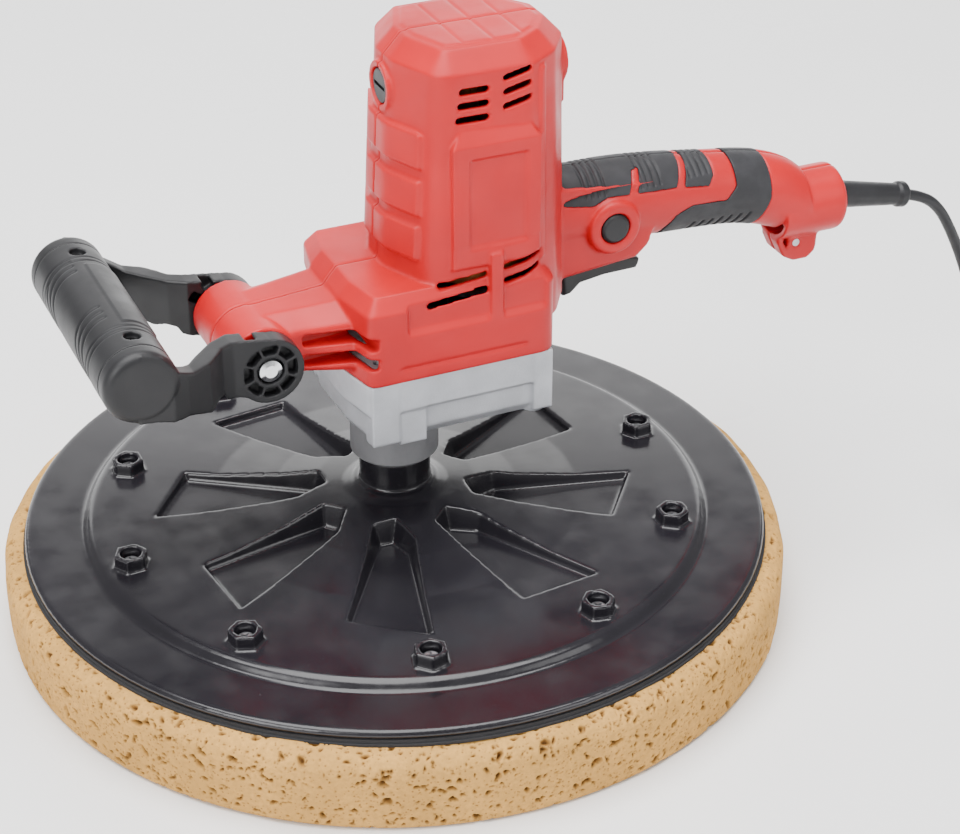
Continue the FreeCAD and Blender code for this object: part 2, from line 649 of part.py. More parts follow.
def make_brush_gear():
    """Brush holders, carbons, their springs and the slotted caps, front and rear alike."""
    height = SIZE["brush_height"]
    x = MOTOR.x
    holder = fused([box((5, -6, height - 5.5), (24.6, 6, height + 5.5)),
                    cylinder(7.2, 6.5, (-0.8, 0, height), X_AXIS)])
    holder = holder.cut([box((-2, -4.6, height - 3.1), (30, 4.6, height + 3.1)),
                         cylinder(5.3, 6.5, (-1.5, 0, height), X_AXIS)])
    carbon = box((12, -4.5, height - 3), (27, 4.5, height + 3))
    carbon = carbon.cut(cylinder(12.55, 20, (x, 0, height - 10)))
    spring = cylinder(2.8, 7.6, (4.2, 0, height), X_AXIS).cut(
        cylinder(2.0, 20, (0, 0, height), X_AXIS))
    cap = cylinder(8, 2.4, (-3.4, 0, height), X_AXIS)
    cap = cap.makeFillet(0.8, [edge for edge in cap.Edges if edge.CenterOfMass.x < -3.3])
    cap = fused([cap, cylinder(5.2, 4.8, (-1, 0, height), X_AXIS)])
    cap = cap.cut(box((-4, -6, height - 0.9), (-2.2, 6, height + 0.9)))
    for label, front in (("brush_holders", holder), ("carbon_brushes", carbon),
                         ("brush_springs", spring), ("brush_caps", cap)):
        rear = front.mirror(MOTOR, X_AXIS)
        shape_node(label, Part.makeCompound([front, rear]))


# ---------------------------------------------------------------- casing outlines
BASE_OUTLINE = [(-33, -18, 9), (-27.5, -43.5, 5), (66, -43.5, 9)]
FOOT_OUTLINE = [(-8.6, -10, 14), (4, -39, 15), (54, -41.5, 13), (71, -30, 12), (83.5, -11, 10)]
CROWN_OUTLINE = [(-1.6, -9, 14), (9.5, -37.4, 11), (54, -38.3, 13), (69.5, -27.5, 12), (81.2, -10, 9)]
FOOT_HEIGHT = 150
GRIP_SECTIONS = [  # x, centre height, half height, half width
    (76, 185, 24, 16), (100, 187.5, 21.5, 17.5), (133, 186.5, 20.2, 17.6), (160, 184, 19, 17),
    (185, 180.4, 18.8, 17), (203, 174.6, 19.4, 17.3), (216, 168, 18.2, 17.2),
]
CASING_SCREWS = [  # x, height, depth of the head's seat from the split
    (1.5, 176, 24), (14, 277, 31), (64, 276.5, 25), (76, 177, 17), (-21.5, 158, 34),
    (62, 151.2, 34), (134, 178, 11.5), (188, 178, 11.5), (214, 147, 4.5),
]


def grip_loft(growth):
    """The rear grip's smooth body through elliptical sections, grown or shrunk all round."""
    wires = []
    for x, middle, tall, wide in GRIP_SECTIONS:
        ring = Part.Ellipse(Vector(), tall + growth, wide + growth)
        edge = ring.toShape()
        edge.Placement = Placement(Vector(x, 0, middle), Rotation(Vector(0, 0, 1), Vector(0, 1, 0), X_AXIS))
        wires.append(Part.Wire(edge))
    return Part.makeLoft(wires, True, False)


def tower(growth):
    """The upright motor housing with its sloping crown."""
    foot = inset(whole(FOOT_OUTLINE), -growth)
    crown = inset(whole(CROWN_OUTLINE), -growth)
    cap = inset(whole(CROWN_OUTLINE), SIZE["crown_inset"] - growth)
    top = SIZE["tower_top"]
    return fused([loft([(foot, FOOT_HEIGHT), (crown, top)]),
                  loft([(crown, top), (cap, SIZE["crown_top"] + growth)])])


def base_block(growth, low):
    """The square skirt over the gearbox, chamfered in to the tower."""
    outline = inset(whole(BASE_OUTLINE), -growth)
    rim = SIZE["rim_height"]
    shoulder = inset(whole(BASE_OUTLINE), 6 - growth)
    return fused([loft([(outline, low), (outline, rim)]),
                  loft([(outline, rim), (shoulder, SIZE["shoulder_height"] + growth)])])


def neck(growth):
    """The ribbed neck that carries the front barrel."""
    near_end = [(-13, 170, 4), (-24, 164.5, 4), (-25, 144, 4)]
    arm_edge = [(-15, 171, 4), (-25.6, 165, 4), (-25.9, 143.5, 4)]
    far_end = [(-19, 173.5, 4), (-31, 166, 4), (-34, 141, 4)]

    def section(half):
        full = half + [(-y, z, r) for y, z, r in reversed(half)]
        return inset(full, -growth)

    x = SIZE["barrel_x"]
    return loft([(section(near_end), x + 2), (section(arm_edge), x + 18), (section(far_end), -22)], "yz")


def tail(growth):
    """The round cord outlet and the hanging lug under it."""
    end = SIZE["tail_end"]
    radius = SIZE["tail_radius"] + growth
    barrel = cylinder(radius, end + growth - 203, (203, 0, SIZE["tail_height"]), X_AXIS)
    rim = [edge for edge in barrel.Edges if edge.CenterOfMass.x > end + growth - 0.1]
    return barrel.makeFillet(3.5, rim)


def lug():
    """The hanging lug: two fins joined under the cord outlet."""
    outline = [(203.5, 160), (203.5, 148), (207, 140.5), (213, 137.2), (221, 137.2), (225.5, 141),
               (226.5, 160)]
    block = side_prism(outline, -8.5, 8.5)
    corners = [edge for edge in block.Edges if edge.Length > 16 and edge.CenterOfMass.z < 150]
    block = block.makeFillet(2.5, corners)
    hollow = side_prism([(206.5, 156), (206.5, 149), (209.5, 143), (209.5, 156)], -12, 12)
    return block.cut(hollow)


def switch_housing(growth):
    """The deeper part of the grip that holds the switch above the trigger."""
    outline = [(60, 206), (60, 152), (80, 157), (121, 161), (126.5, 166), (129, 176), (131, 190), (128, 200)]
    block = side_prism(outline, -15.5 - growth, 15.5 + growth)
    if growth < 0:
        clear = [(60, 203), (60, 158), (80, 160), (119, 164), (123.5, 168), (126, 177), (128, 190),
                 (125, 197)]
        return side_prism(clear, -15.5 - growth, 15.5 + growth)
    corners = [edge for edge in block.Edges if edge.CenterOfMass.z < 165 and abs(edge.CenterOfMass.y) > 15]
    return block.makeFillet(3, corners)


def casing_outside(growth=0.0):
    """Everything the two casing halves enclose, or the same shape grown or shrunk."""
    return fused([tower(growth), base_block(growth, SIZE["case_top"]), neck(growth), grip_loft(growth),
                  switch_housing(growth), tail(growth)])


# ---------------------------------------------------------------- casing details
def tower_band(outer_growth, inner_growth):
    """A layer following the tower's walls."""
    return tower(outer_growth).cut(tower(inner_growth))


def grip_pads():
    """Three raised finger pads across the tower's front."""
    layer = tower_band(2.4, -1)
    pads = []
    for low, high in ((191.5, 207.5), (213, 229.5), (235.5, 252)):
        window = box((-20, -30, low), (6.5, 30, high))
        window = window.makeChamfer(3.5, [edge for edge in window.Edges if edge.CenterOfMass.x > 6 and
                                          abs(edge.CenterOfMass.y) < 1])
        pads.append(layer.common(window))
    return pads


def panel_frames():
    """The raised frame round each side's recessed window, and the rib behind it."""
    frame = side_prism([(14, 188), (14, 247), (19, 254), (52, 254), (57, 247), (57, 188)], -41.6, -34)
    slope = prism([(10, -42, 246.5), (10, -37.8, 255), (10, -46, 258)], (50, 0, 0))
    window = box((22, -43, 197), (51, -40.2, 241))
    frame = frame.cut([slope, window])
    rib = tower_band(1.6, -1).common(box((58.5, -44, 185), (61.5, -25, 277)))
    return both(frame) + both(rib)


def brush_bosses():
    """Raised rings round the front and rear brush caps."""
    height = SIZE["brush_height"]
    front = cylinder(11.5, 12, (-4, 0, height), X_AXIS)
    rear = cylinder(11.5, 12, (72.2, 0, height), X_AXIS)
    post = box((74, -9, 246), (83.2, 9, height))
    return [front, rear, post]


def crown_pads():
    """Eight shallow pads on the flat top."""
    top = SIZE["crown_top"]
    cap = loft([(inset(whole(CROWN_OUTLINE), 11), top - 1), (inset(whole(CROWN_OUTLINE), 12), top + 0.8)])
    x_edges = [8, 25.5, 40, 54.5, 72]
    cells = []
    for x_low, x_high in zip(x_edges, x_edges[1:]):
        cells += both(box((x_low + 0.7, -30, top - 2), (x_high - 0.7, -0.9, top + 2)))
    return [cap.common(cell) for cell in cells]


def shell_details():
    """Everything raised on the casing's outside."""
    skirt_rib = both(box((32, -43.5, SIZE["ledge_height"]), (38, -38, 194)))
    barrel = cylinder(SIZE["barrel_radius"], 2 * SIZE["barrel_half"],
                      (SIZE["barrel_x"], -SIZE["barrel_half"], SIZE["barrel_height"]), Y_AXIS)
    ring_height = SIZE["button_height"]
    button_ring = cylinder(13.4, 8, (SIZE["button_x"], -20.6, ring_height), Y_AXIS)
    button_ring = button_ring.makeFillet(2.2, [edge for edge in button_ring.Edges
                                               if edge.CenterOfMass.y < -20.5])
    return (grip_pads() + panel_frames() + brush_bosses() + crown_pads() + skirt_rib
            + [barrel, button_ring, lug()])


def vent_slots():
    """Cooling slots, listed for the near side and mirrored."""
    slots = []
    for level in range(3):
        z = 257 + 6.6 * level
        slots.append(side_prism([(17 + level, z), (33, z), (33, z + 3.1), (17 + level, z + 3.1)], -50, -30))
        z = 261.5 + 6.6 * level
        slots.append(side_prism([(39.5, z - 1), (53.5, z + 2.2), (53.5, z + 5), (39.5, z + 1.8)], -50, -28))
    slots.append(side_prism([(1, 171.5), (31.7, 174.5), (31.7, 177.5), (1, 174.5)], -50, -30))
    slots.append(side_prism([(7.7, 178.5), (31.7, 181.2), (31.7, 184.2), (7.7, 181.5)], -50, -30))
    for z in (176, 183):
        outline = [(39.5, z), (50, z + 2), (58, z + 5), (58, z + 8), (50, z + 5), (39.5, z + 3)]
        slots.append(side_prism(outline, -50, -26))
    for z_low, z_high in ((156.4, 162.6), (146.6, 152.4)):
        slots.append(side_prism([(-53, z_low), (-23, z_low), (-23, z_high), (-53, z_high)], -50, -20))
    return [side for slot in slots for side in both(slot)]


def skirt_cuts():
    """The set-back upper skirt with its sloping ledge, and the groove near the lower edge."""
    ledge = SIZE["ledge_height"]
    cuts = []
    for x_low, x_high in ((-9, 32), (38, 60)):
        profile = [(-41.4, ledge + 4), (-44, ledge), (-50, ledge), (-50, 200), (-41.4, 200)]
        cuts.append(prism([(x_low, y, z) for y, z in profile], (x_high - x_low, 0, 0)))
    cuts.append(box((-13, -45, 144), (50, -42.7, 145.6)))
    cuts.append(box((48.8, -45, 137), (50, -42.7, 145)))
    return [side for cut in cuts for side in both(cut)]


def casing_inside():
    """The hollow of the casing, with the crown, barrel and fixings left solid."""
    wall = SIZE["casing_wall"]
    deck = SIZE["crown_top"] - wall
    hollow = fused([tower(-wall), base_block(-wall - 0.6, SIZE["case_top"] - 1), neck(-wall),
                    grip_loft(-wall), switch_housing(-wall), tail(-wall)])
    keepers = [
        cylinder(14, deck - 273, (MOTOR.x, 0, 273)).cut(cylinder(11.05, 9.2, (MOTOR.x, 0, 273))),
        box((SIZE["barrel_x"] - 20, -40, 130), (SIZE["barrel_x"] + 18, 40, 180)),
    ]
    return hollow.cut(keepers)


def casing_openings():
    """Bores and seats cut through the walls."""
    height = SIZE["brush_height"]
    x = SIZE["button_x"]
    z = SIZE["button_height"]
    bolt = SIZE["bolt_radius"]
    barrel_low = (SIZE["barrel_x"], -SIZE["barrel_half"] - 4, SIZE["barrel_height"])
    return [
        cylinder(8.4, 6, (-6.4, 0, height), X_AXIS), cylinder(7.3, 16, (-6, 0, height), X_AXIS),
        cylinder(8.4, 6, (77.4, 0, height), X_AXIS), cylinder(7.3, 16, (67, 0, height), X_AXIS),
        cylinder(SIZE["button_radius"] + 0.35, 14, (x, -24, z), Y_AXIS),
        cylinder(bolt + 0.1, 70, barrel_low, Y_AXIS),
        cylinder(6.5, 14, (SIZE["tail_end"] - 8, 0, SIZE["tail_height"] + 0.3), X_AXIS),
        box((83, -8.2, 140), (122, 8.2, 166)),
        cylinder(2.02, 2 * SIZE["trigger_pin_half"] + 0.2,
                 (SIZE["trigger_x"], -SIZE["trigger_pin_half"] - 0.1, SIZE["trigger_height"]), Y_AXIS),
    ]


def screw_boss_parts(outside):
    """Bosses inside the casing, the holes through them, and the screws themselves."""
    bosses, holes, screws = [], [], []
    for x, z, seat in CASING_SCREWS:
        boss = cylinder(4.2, 80, (x, -40, z), Y_AXIS)
        bosses.append(boss)
        holes.append(cylinder(2, seat + 8.5, (x, -8.5, z), Y_AXIS))
        holes.append(cylinder(3.8, 60, (x, seat, z), Y_AXIS))
        head = cylinder(3.5, 2.6, (x, seat + 0.05, z), Y_AXIS)
        cross = [box((x - 2.1, seat + 1.2, z - 0.4), (x + 2.1, seat + 3, z + 0.4)),
                 box((x - 0.4, seat + 1.2, z - 2.1), (x + 0.4, seat + 3, z + 2.1))]
        shank = cylinder(1.95, seat + 8, (x, -8, z), Y_AXIS)
        screws.append(head.cut(cross).fuse(shank))
    return [boss.common(outside) for boss in bosses], holes, screws


# ---------------------------------------------------------------- rubber grips
UPPER_ZONE = [(81, 195.5), (96, 193.5), (104, 196.5), (140, 194.5), (158, 192), (161.5, 196), (162.5, 215),
              (81, 215)]
REAR_ZONE = [(173.5, 215), (173.5, 189), (168, 183), (149, 184), (141, 180.5), (135.5, 172.5), (133.5, 160),
             (186, 140), (187, 165), (192.5, 180), (193.5, 215)]
FINGER_LINES = [(112.5, 119), (138.5, 145.5)]
RUBBER_DEPTH = 1.7


def rubber_layer():
    """The soft skin's full thickness, just proud of the grip."""
    return grip_loft(0.25).cut(grip_loft(-RUBBER_DEPTH))


def upper_zone():
    """The upper rubber field, cut by two fingers of the hard casing."""
    zone = side_prism(UPPER_ZONE, -30, 30)
    fingers = []
    for foot, head in FINGER_LINES:
        fingers.append(side_prism([(foot, 190), (foot + 5, 190), (head + 4, 205), (head, 205)], -30, 30))
    return zone.cut(fingers)


def ridge_grooves():
    """Groups of fine grooves across the upper rubber, and slanted ones under the grip."""
    grooves = []
    for first in (92, 121.5, 148):
        for step in range(4):
            x = first + 3.4 * step
            grooves.append(side_prism([(x, 197), (x + 1.4, 197), (x + 0.4, 230), (x - 1, 230)], -30, 30))
    for step in range(7):
        x = 143 + 5 * step
        grooves.append(side_prism([(x, 150), (x + 1.6, 150), (x + 9.6, 174), (x + 8, 174)], -30, 30))
    return grooves


def make_rubber():
    """Four overmoulded grips: upper and rear, on both casing halves."""
    layer = rubber_layer()
    carve = grip_loft(1).cut(grip_loft(-0.55))
    grooves = [groove.common(carve) for groove in ridge_grooves()]
    zones = {"upper": upper_zone(), "rear": side_prism(REAR_ZONE, -30, 30)}
    seats = []
    for name, zone in zones.items():
        field = layer.common(zone)
        seats.append(grip_loft(1).cut(grip_loft(-RUBBER_DEPTH)).common(zone))
        for side, window in half_spaces().items():
            shape_node(f"grip_{name}_{side}", field.common(window).cut(grooves))
    return seats


def half_spaces():
    """The space on each side of the split, a seam's width apart."""
    gap = SIZE["seam_gap"]
    return {"left": box((-300, -150, 0), (500, -gap, 400)), "right": box((-300, gap, 0), (500, 150, 400))}


def make_casing():
    """The two casing halves, the screws that join them and the rubber on the grip."""
    seats = make_rubber()
    outside = casing_outside()
    shell = fused([outside, *shell_details()])
    bosses, holes, screws = screw_boss_parts(outside)
    shell = shell.cut(skirt_cuts())
    shell = shell.cut(casing_inside())
    shell = shell.fuse(bosses)
    shell = shell.cut(vent_slots() + casing_openings() + holes + seats)
    for side, window in half_spaces().items():
        shape_node(f"housing_{side}", largest(shell.common(window)))
    shape_node("housing_screws", Part.makeCompound(screws))


def largest(shape):
    """The biggest solid of a shape, without loose crumbs."""
    return max(shape.Solids, key=lambda solid: solid.Volume)


# ---------------------------------------------------------------- front handle
ARM_SIDE = [(-137, 190), (-128, 187), (-121, 177.5), (-113, 173.4), (-98, 172.8), (-90, 172.6), (-72, 170),
            (-72, 138.2), (-86, 144), (-93, 145.5), (-95, 149), (-99, 150), (-104, 148.2), (-116, 153.6),
            (-125, 154.6), (-133, 156.5), (-140, 156.8)]
ARM_PLAN = [(-150, -61.5), (-124, -61.5), (-116, -57.5), (-104, -50), (-95, -39), (-89, -36), (-50, -36),
            (-50, -26.4), (-90, -26.4), (-98, -31), (-108, -41), (-116, -50), (-119.4, -52.2), (-150, -52.2)]


def arm():
    """The near-side arm: capped bar end, cranked link and pivot boss with its spoked recess."""
    x, z = SIZE["barrel_x"], SIZE["barrel_height"]
    face = -SIZE["arm_outer"]
    link = side_prism(ARM_SIDE, -70, -20).common(
        prism([(px, py, 100) for px, py in ARM_PLAN], (0, 0, 120)))
    boss = cylinder(15.8, SIZE["arm_outer"] - SIZE["arm_inner"], (x, face, z), Y_AXIS)
    cap = cylinder(SIZE["bar_radius"], SIZE["cap_outer"] - SIZE["bar_half"] - 0.1,
                   (SIZE["bar_x"], -SIZE["cap_outer"], SIZE["bar_height"]), Y_AXIS)
    cap = cap.makeFillet(4.5, [edge for edge in cap.Edges if edge.CenterOfMass.y < -SIZE["cap_outer"] + 0.1])
    spigot = cylinder(12, 14, (SIZE["bar_x"], -SIZE["bar_half"] - 0.5, SIZE["bar_height"]), Y_AXIS)
    shape = fused([link, boss, cap, spigot])
    recess = cylinder(12.6, 5.5, (x, face - 0.5, z), Y_AXIS).cut(cylinder(8.4, 7, (x, face - 1, z), Y_AXIS))
    spokes = []
    for index in range(8):
        spoke = box((x + 7, face - 1, z - 0.7), (x + 13, face + 5, z + 0.7))
        spoke.rotate(Vector(x, 0, z), Y_AXIS, 22.5 + 45 * index)
        spokes.append(spoke)
    seat = cylinder(6.4, 4, (x, face - 0.5, z), Y_AXIS)
    bore = cylinder(SIZE["bolt_radius"] + SIZE["running_gap"], 30, (x, -45, z), Y_AXIS)
    notches = []
    for angle in (118, 146):
        notch = box((x + 13.2, -33.5, z - 2.6), (x + 20, -24, z + 2.6))
        notch.rotate(Vector(x, 0, z), Y_AXIS, -angle)
        notches.append(notch)
    return shape.cut([recess.cut(spokes), seat, bore, *notches, grip_screw_hole(-1)])


BAR_SCREW_ANGLE = 83
BAR_SCREW_OFFSET = 43
BAR_SCREW_DEPTH = 4.6


def bar_radial(shape, side):
    """A shape modelled along +Z over the bar's axis, moved to a bar screw's place."""
    shape.rotate(Vector(), Y_AXIS, 90 - BAR_SCREW_ANGLE)
    shape.translate(Vector(SIZE["bar_x"], side * BAR_SCREW_OFFSET, SIZE["bar_height"]))
    return shape


def grip_screw_hole(side):
    """The deep hole of a bar screw, with a countersink at its foot."""
    seat = SIZE["bar_radius"] - BAR_SCREW_DEPTH
    shank = cylinder(2.05, 30, (0, 0, 2))
    sink = Part.makeCone(2.05, 3.7, 2, Vector(0, 0, seat), Z_AXIS)
    mouth = cylinder(3.7, 8, (0, 0, seat + 2))
    return bar_radial(fused([shank, sink, mouth]), side)


def make_front_handle():
    """Two arms, the grip tube between them, its screws, and the pivot bolt with its nut."""
    near = arm()
    shape_node("handle_arm_left", near)
    shape_node("handle_arm_right", mirrored(near))
    half = SIZE["bar_half"]
    radius = SIZE["bar_radius"]
    base = (SIZE["bar_x"], -half, SIZE["bar_height"])
    tube = cylinder(radius, 2 * half, base, Y_AXIS)
    bore = cylinder(12.1, 2 * half + 2, (base[0], -half - 1, base[2]), Y_AXIS)
    tube = tube.cut([bore, grip_screw_hole(-1), grip_screw_hole(1)])
    shape_node("grip_tube", tube)
    screws = []
    seat = radius - BAR_SCREW_DEPTH
    for side in (-1, 1):
        head = Part.makeCone(2, 3.4, 1.7, Vector(0, 0, seat + 0.1), Z_AXIS)
        cross = [box((-2, -0.4, seat + 0.9), (2, 0.4, seat + 3)),
                 box((-0.4, -2, seat + 0.9), (0.4, 2, seat + 3))]
        screws.append(bar_radial(fused([head, cylinder(2, 8.4, (0, 0, 4))]).cut(cross), side))
    shape_node("grip_screws", Part.makeCompound(screws))

    quarter = Rotation(X_AXIS, -90)
    revolved("pivot_bolt", [
        ("0", "0"), ("3", "0"), ("5.2", "0.7"), ("5.9", "2"), ("5.9", "3.1"), ("bolt_radius", "3.1"),
        ("bolt_radius", "2 * arm_outer - 1"), ("bolt_radius - 0.6", "2 * arm_outer"), ("0", "2 * arm_outer"),
    ], ("barrel_x", "0 - arm_outer", "barrel_height"), quarter)
    body = new_body("pivot_nut", ("barrel_x", "arm_outer - 3", "barrel_height"), quarter)
    hexagon = [polar("6.2", str(60 * side)) for side in range(6)]
    add_pad(body, outline_sketch(body, "XY_Plane", hexagon), "4.5")
    add_pocket(body, circle_sketch(body, "XY_Plane", "bolt_radius + running_gap", lift="0 - 1"), "8")
    keep(body, "pivot_nut")


# ---------------------------------------------------------------- rear handle controls
def make_controls():
    """Trigger, its return spring, the switch, the lock button and the cord clamp."""
    x, z = SIZE["trigger_x"], SIZE["trigger_height"]
    half = SIZE["trigger_half"]
    profile = [(x - 3.6, z + 3.5), (x - 3.2, z - 4), (x - 2, z - 17.9), (x + 2, z - 17.1),
               (x + 7, z - 12.5), (x + 20, z - 10.7), (x + 37, z - 10.5), (x + 38, z - 8.5),
               (x + 38, z - 4.9), (x + 32, z - 3.9), (x + 8, z - 2), (x + 6, z + 3.5)]
    paddle = side_prism(profile, -half, half)
    rims = [edge for edge in paddle.Edges if abs(abs(edge.CenterOfMass.y) - half) < 0.01
            and edge.CenterOfMass.z < z - 8.5]
    paddle = paddle.makeFillet(1.8, rims)
    pin_bore = cylinder(2.05, 2 * half + 2, (x, -half - 1, z), Y_AXIS)
    shape_node("trigger", paddle.cut(pin_bore))
    revolved("trigger_pin", ring_corners("0", "2", "0", "2 * trigger_pin_half"),
             ("trigger_x", "0 - trigger_pin_half", "trigger_height"), Rotation(X_AXIS, -90))
    spring = cylinder(2.6, 5.6, (x + 26, 0, z - 3.2)).cut(cylinder(1.9, 8, (x + 26, 0, z - 4)))
    shape_node("trigger_spring", spring)
    body = box((x + 8, -7, z + 2.5), (x + 29, 7, z + 18.5))
    tabs = [box((x + 11 + 6 * step, -1, z + 17), (x + 13 + 6 * step, 1, z + 24)) for step in range(3)]
    shape_node("switch_body", fused([body, *tabs]))
    revolved("lock_button", [
        ("0", "0"), ("button_radius - 1.2", "0"), ("button_radius", "1.2"), ("button_radius", "8"),
        ("3", "8"), ("3", "10.4"), ("0", "10.4"),
    ], ("button_x", "0 - 21.2", "button_height"), Rotation(X_AXIS, -90))
    centre = (222, 0, SIZE["tail_height"])
    bar = box((217, -8.5, centre[2] - 7.6), (225, 8.5, centre[2] - 3.4))
    screws = [cylinder(1.5, 10, (221, side * 5.8, centre[2] - 9)) for side in (-1, 1)]
    shape_node("cord_clamp", bar.cut(screws))
    heads = []
    for side in (-1, 1):
        shank = cylinder(1.48, 5.2, (221, side * 5.8, centre[2] - 8.6))
        heads.append(shank.fuse(cylinder(2.6, 1.8, (221, side * 5.8, centre[2] - 3.4))))
    shape_node("clamp_screws", Part.makeCompound(heads))


# ---------------------------------------------------------------- cord
BOOT_SLOPE = 10.9
CORD_ROUTE = [
    (281.2, 0, 157.3), (293.9, 0.1, 153.6), (304.6, 0.4, 144.4), (313.3, 0.9, 130.5), (322.5, 1.5, 112.5),
    (331, 2, 92), (338.3, 2, 69.5), (343.6, 1, 48.5), (347.4, -2.4, 32.3), (351.4, -7.6, 19.6),
    (356.6, -14.8, 10.4), (363, -24, 5), (370, -35.2, 2.9), (375.9, -47.4, 2.9), (380.6, -59.8, 2.9),
]
PLUG_ROUTE = [
    (380.6, -122.9, 8.9), (378, -130.8, 9.2), (375.6, -140.4, 10.5), (374.3, -150.2, 12.3),
    (374, -159.8, 13.4),
]
COIL_FLOOR = 0.1


def cord_tube(route, radius):
    """A cord's tube: straight runs joined by the largest tangent arcs they allow."""
    points = [Vector(*point) for point in route]
    edges = []
    start = points[0]
    for before, here, after in zip(points, points[1:], points[2:]):
        back = before - here
        ahead = after - here
        turn = math.pi - back.getAngle(ahead)
        reach = 0.45 * min(back.Length, ahead.Length)
        bend = reach / math.tan(turn / 2)
        back.normalize()
        ahead.normalize()
        middle = (back + ahead).normalize()
        centre = here + middle * math.hypot(bend, reach)
        first, top, last = here + back * reach, centre - middle * bend, here + ahead * reach
        edges.append(Part.LineSegment(start, first).toShape())
        edges.append(Part.Arc(first, top, last).toShape())
        start = last
    edges.append(Part.LineSegment(start, points[-1]).toShape())
    path = Part.Wire(edges)
    ring = Part.Circle(points[0], points[1] - points[0], radius).toShape()
    return path.makePipeShell([Part.Wire(ring)], True, True)


def make_cord():
    """Strain relief, the hanging lead, its stored coil with a tie, and the plug."""
    slope = Rotation(Y_AXIS, 90 + BOOT_SLOPE)
    revolved("strain_relief", [
        ("0", "0 - 7.5"), ("8.4", "0 - 7.5"), ("8.4", "0 - 4.8"), ("5.6", "0 - 4.8"), ("5.6", "1.5"),
        ("7", "1.5"), ("5.6", "38"), ("6.6", "39.5"), ("6.6", "43"), ("6", "44"), ("0", "44"),
    ], ("tail_end", "0", "tail_height"), slope)
    radius = SIZE["cord_radius"]
    shape_node("cord_run", Part.makeCompound([cord_tube(CORD_ROUTE, radius), cord_tube(PLUG_ROUTE, radius)]))
    middle = SIZE["coil_radius"]
    half = SIZE["coil_pitch"] * (SIZE["coil_columns"] - 1) / 2 + radius
    tall = SIZE["coil_pitch"] * (SIZE["coil_layers"] - 1) + 2 * radius
    where = (SIZE["coil_x"], SIZE["coil_y"], COIL_FLOOR)
    coil = cylinder(middle + half, tall, where).cut(cylinder(middle - half, 2 * tall, where))
    coil = coil.makeFillet(2, [edge for edge in coil.Edges if edge.Curve.TypeId == "Part::GeomCircle"])
    shape_node("cord_coil", coil)
    x = where[0] - middle
    y = where[1]
    outer = box((x - half - 1.4, y - 4, 0), (x + half + 1.4, y + 4, COIL_FLOOR + tall + 1.4))
    inner = box((x - half - 0.3, y - 5, 0.05), (x + half + 0.3, y + 5, COIL_FLOOR + tall + 0.3))
    shape_node("cord_tie", outer.cut(inner))


def make_plug():
    """The moulded plug with its ribbed relief, lying on its side, and its two pins."""
    x, y, z = PLUG_ROUTE[-1]

    def section(offset, wide, tall, corner):
        flat = [(-wide, -tall, corner), (wide, -tall, corner), (wide, tall, corner), (-wide, tall, corner)]
        wire = rounded_wire(flat, 0)
        wire.Placement = Placement(Vector(x, y - offset, z), Rotation(X_AXIS, 90))
        return wire

    relief = cylinder(4.6, 19, (x, y, z), Y_AXIS * -1)
    grooves = [cylinder(6, 1.4, (x, y - 4 - 3.6 * step, z), Y_AXIS * -1).cut(
        cylinder(3.8, 3, (x, y - 3 - 3.6 * step, z), Y_AXIS * -1)) for step in range(4)]
    body = Part.makeLoft([section(17, 7.5, 6.5, 5), section(26, 12.5, 10.5, 7), section(34, 17.3, 13.2, 8),
                          section(52, 17.3, 13.2, 8)], True, True)
    shape_node("plug_body", fused([relief.cut(grooves), body]))
    pins = []
    for side in (-1, 1):
        pin = cylinder(2.4, 19, (x + side * 9.5, y - 52, z), Y_AXIS * -1)
        pins.append(pin.makeFillet(1.6, [edge for edge in pin.Edges if edge.CenterOfMass.y < y - 70.9]))
    shape_node("plug_pins", Part.makeCompound(pins))


# ---------------------------------------------------------------- build and write
def check_document():
    """Stop unless every object is sound and every sub-part has a valid shape."""
    DOC.recompute()
    for item in DOC.Objects:
        if "Invalid" in item.State or "Error" in item.State:
            raise RuntimeError(f"{item.Name} did not build: {item.State}")
    for item in NODES:
        if item.Shape.isNull() or not item.Shape.isValid():
            raise RuntimeError(f"{item.Label} has no valid shape")
        if item.Shape.Volume <= 0 or not item.Shape.Solids:
            raise RuntimeError(f"{item.Label} has no solid")


def main():
    make_sponge()
    make_backing_layers()
    make_backing_plate()
    make_plate_fixings()
    make_spindle()
    pinion = make_gears()
    make_bearings()
    make_gearbox()
    make_armature(pinion)
    make_stator()
    make_brush_gear()
    make_casing()
    make_front_handle()
    make_controls()
    make_cord()
    make_plug()
    check_document()
    os.makedirs("parts", exist_ok=True)
    for item in NODES:
        item.Shape.exportStep(f"parts/{item.Label}.step")
    print(len(NODES), "sub-parts written")


main()
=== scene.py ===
"""Looks of the powered grout float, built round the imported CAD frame, in metres."""

import math

import bpy
import numpy as np
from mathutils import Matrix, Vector
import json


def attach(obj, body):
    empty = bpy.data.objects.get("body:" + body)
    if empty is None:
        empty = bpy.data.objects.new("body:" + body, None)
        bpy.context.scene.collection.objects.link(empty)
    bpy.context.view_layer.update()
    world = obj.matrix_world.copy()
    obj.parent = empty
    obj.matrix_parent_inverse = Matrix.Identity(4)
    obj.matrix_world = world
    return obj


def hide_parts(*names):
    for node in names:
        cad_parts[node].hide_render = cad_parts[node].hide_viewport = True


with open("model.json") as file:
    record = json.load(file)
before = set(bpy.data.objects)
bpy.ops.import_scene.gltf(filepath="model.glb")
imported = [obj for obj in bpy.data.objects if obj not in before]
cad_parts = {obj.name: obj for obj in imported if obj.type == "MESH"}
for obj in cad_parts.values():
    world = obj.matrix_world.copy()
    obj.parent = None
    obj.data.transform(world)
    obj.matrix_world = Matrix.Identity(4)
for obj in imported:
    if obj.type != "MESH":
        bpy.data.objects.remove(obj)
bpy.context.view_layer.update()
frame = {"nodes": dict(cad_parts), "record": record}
NODES = frame["nodes"]
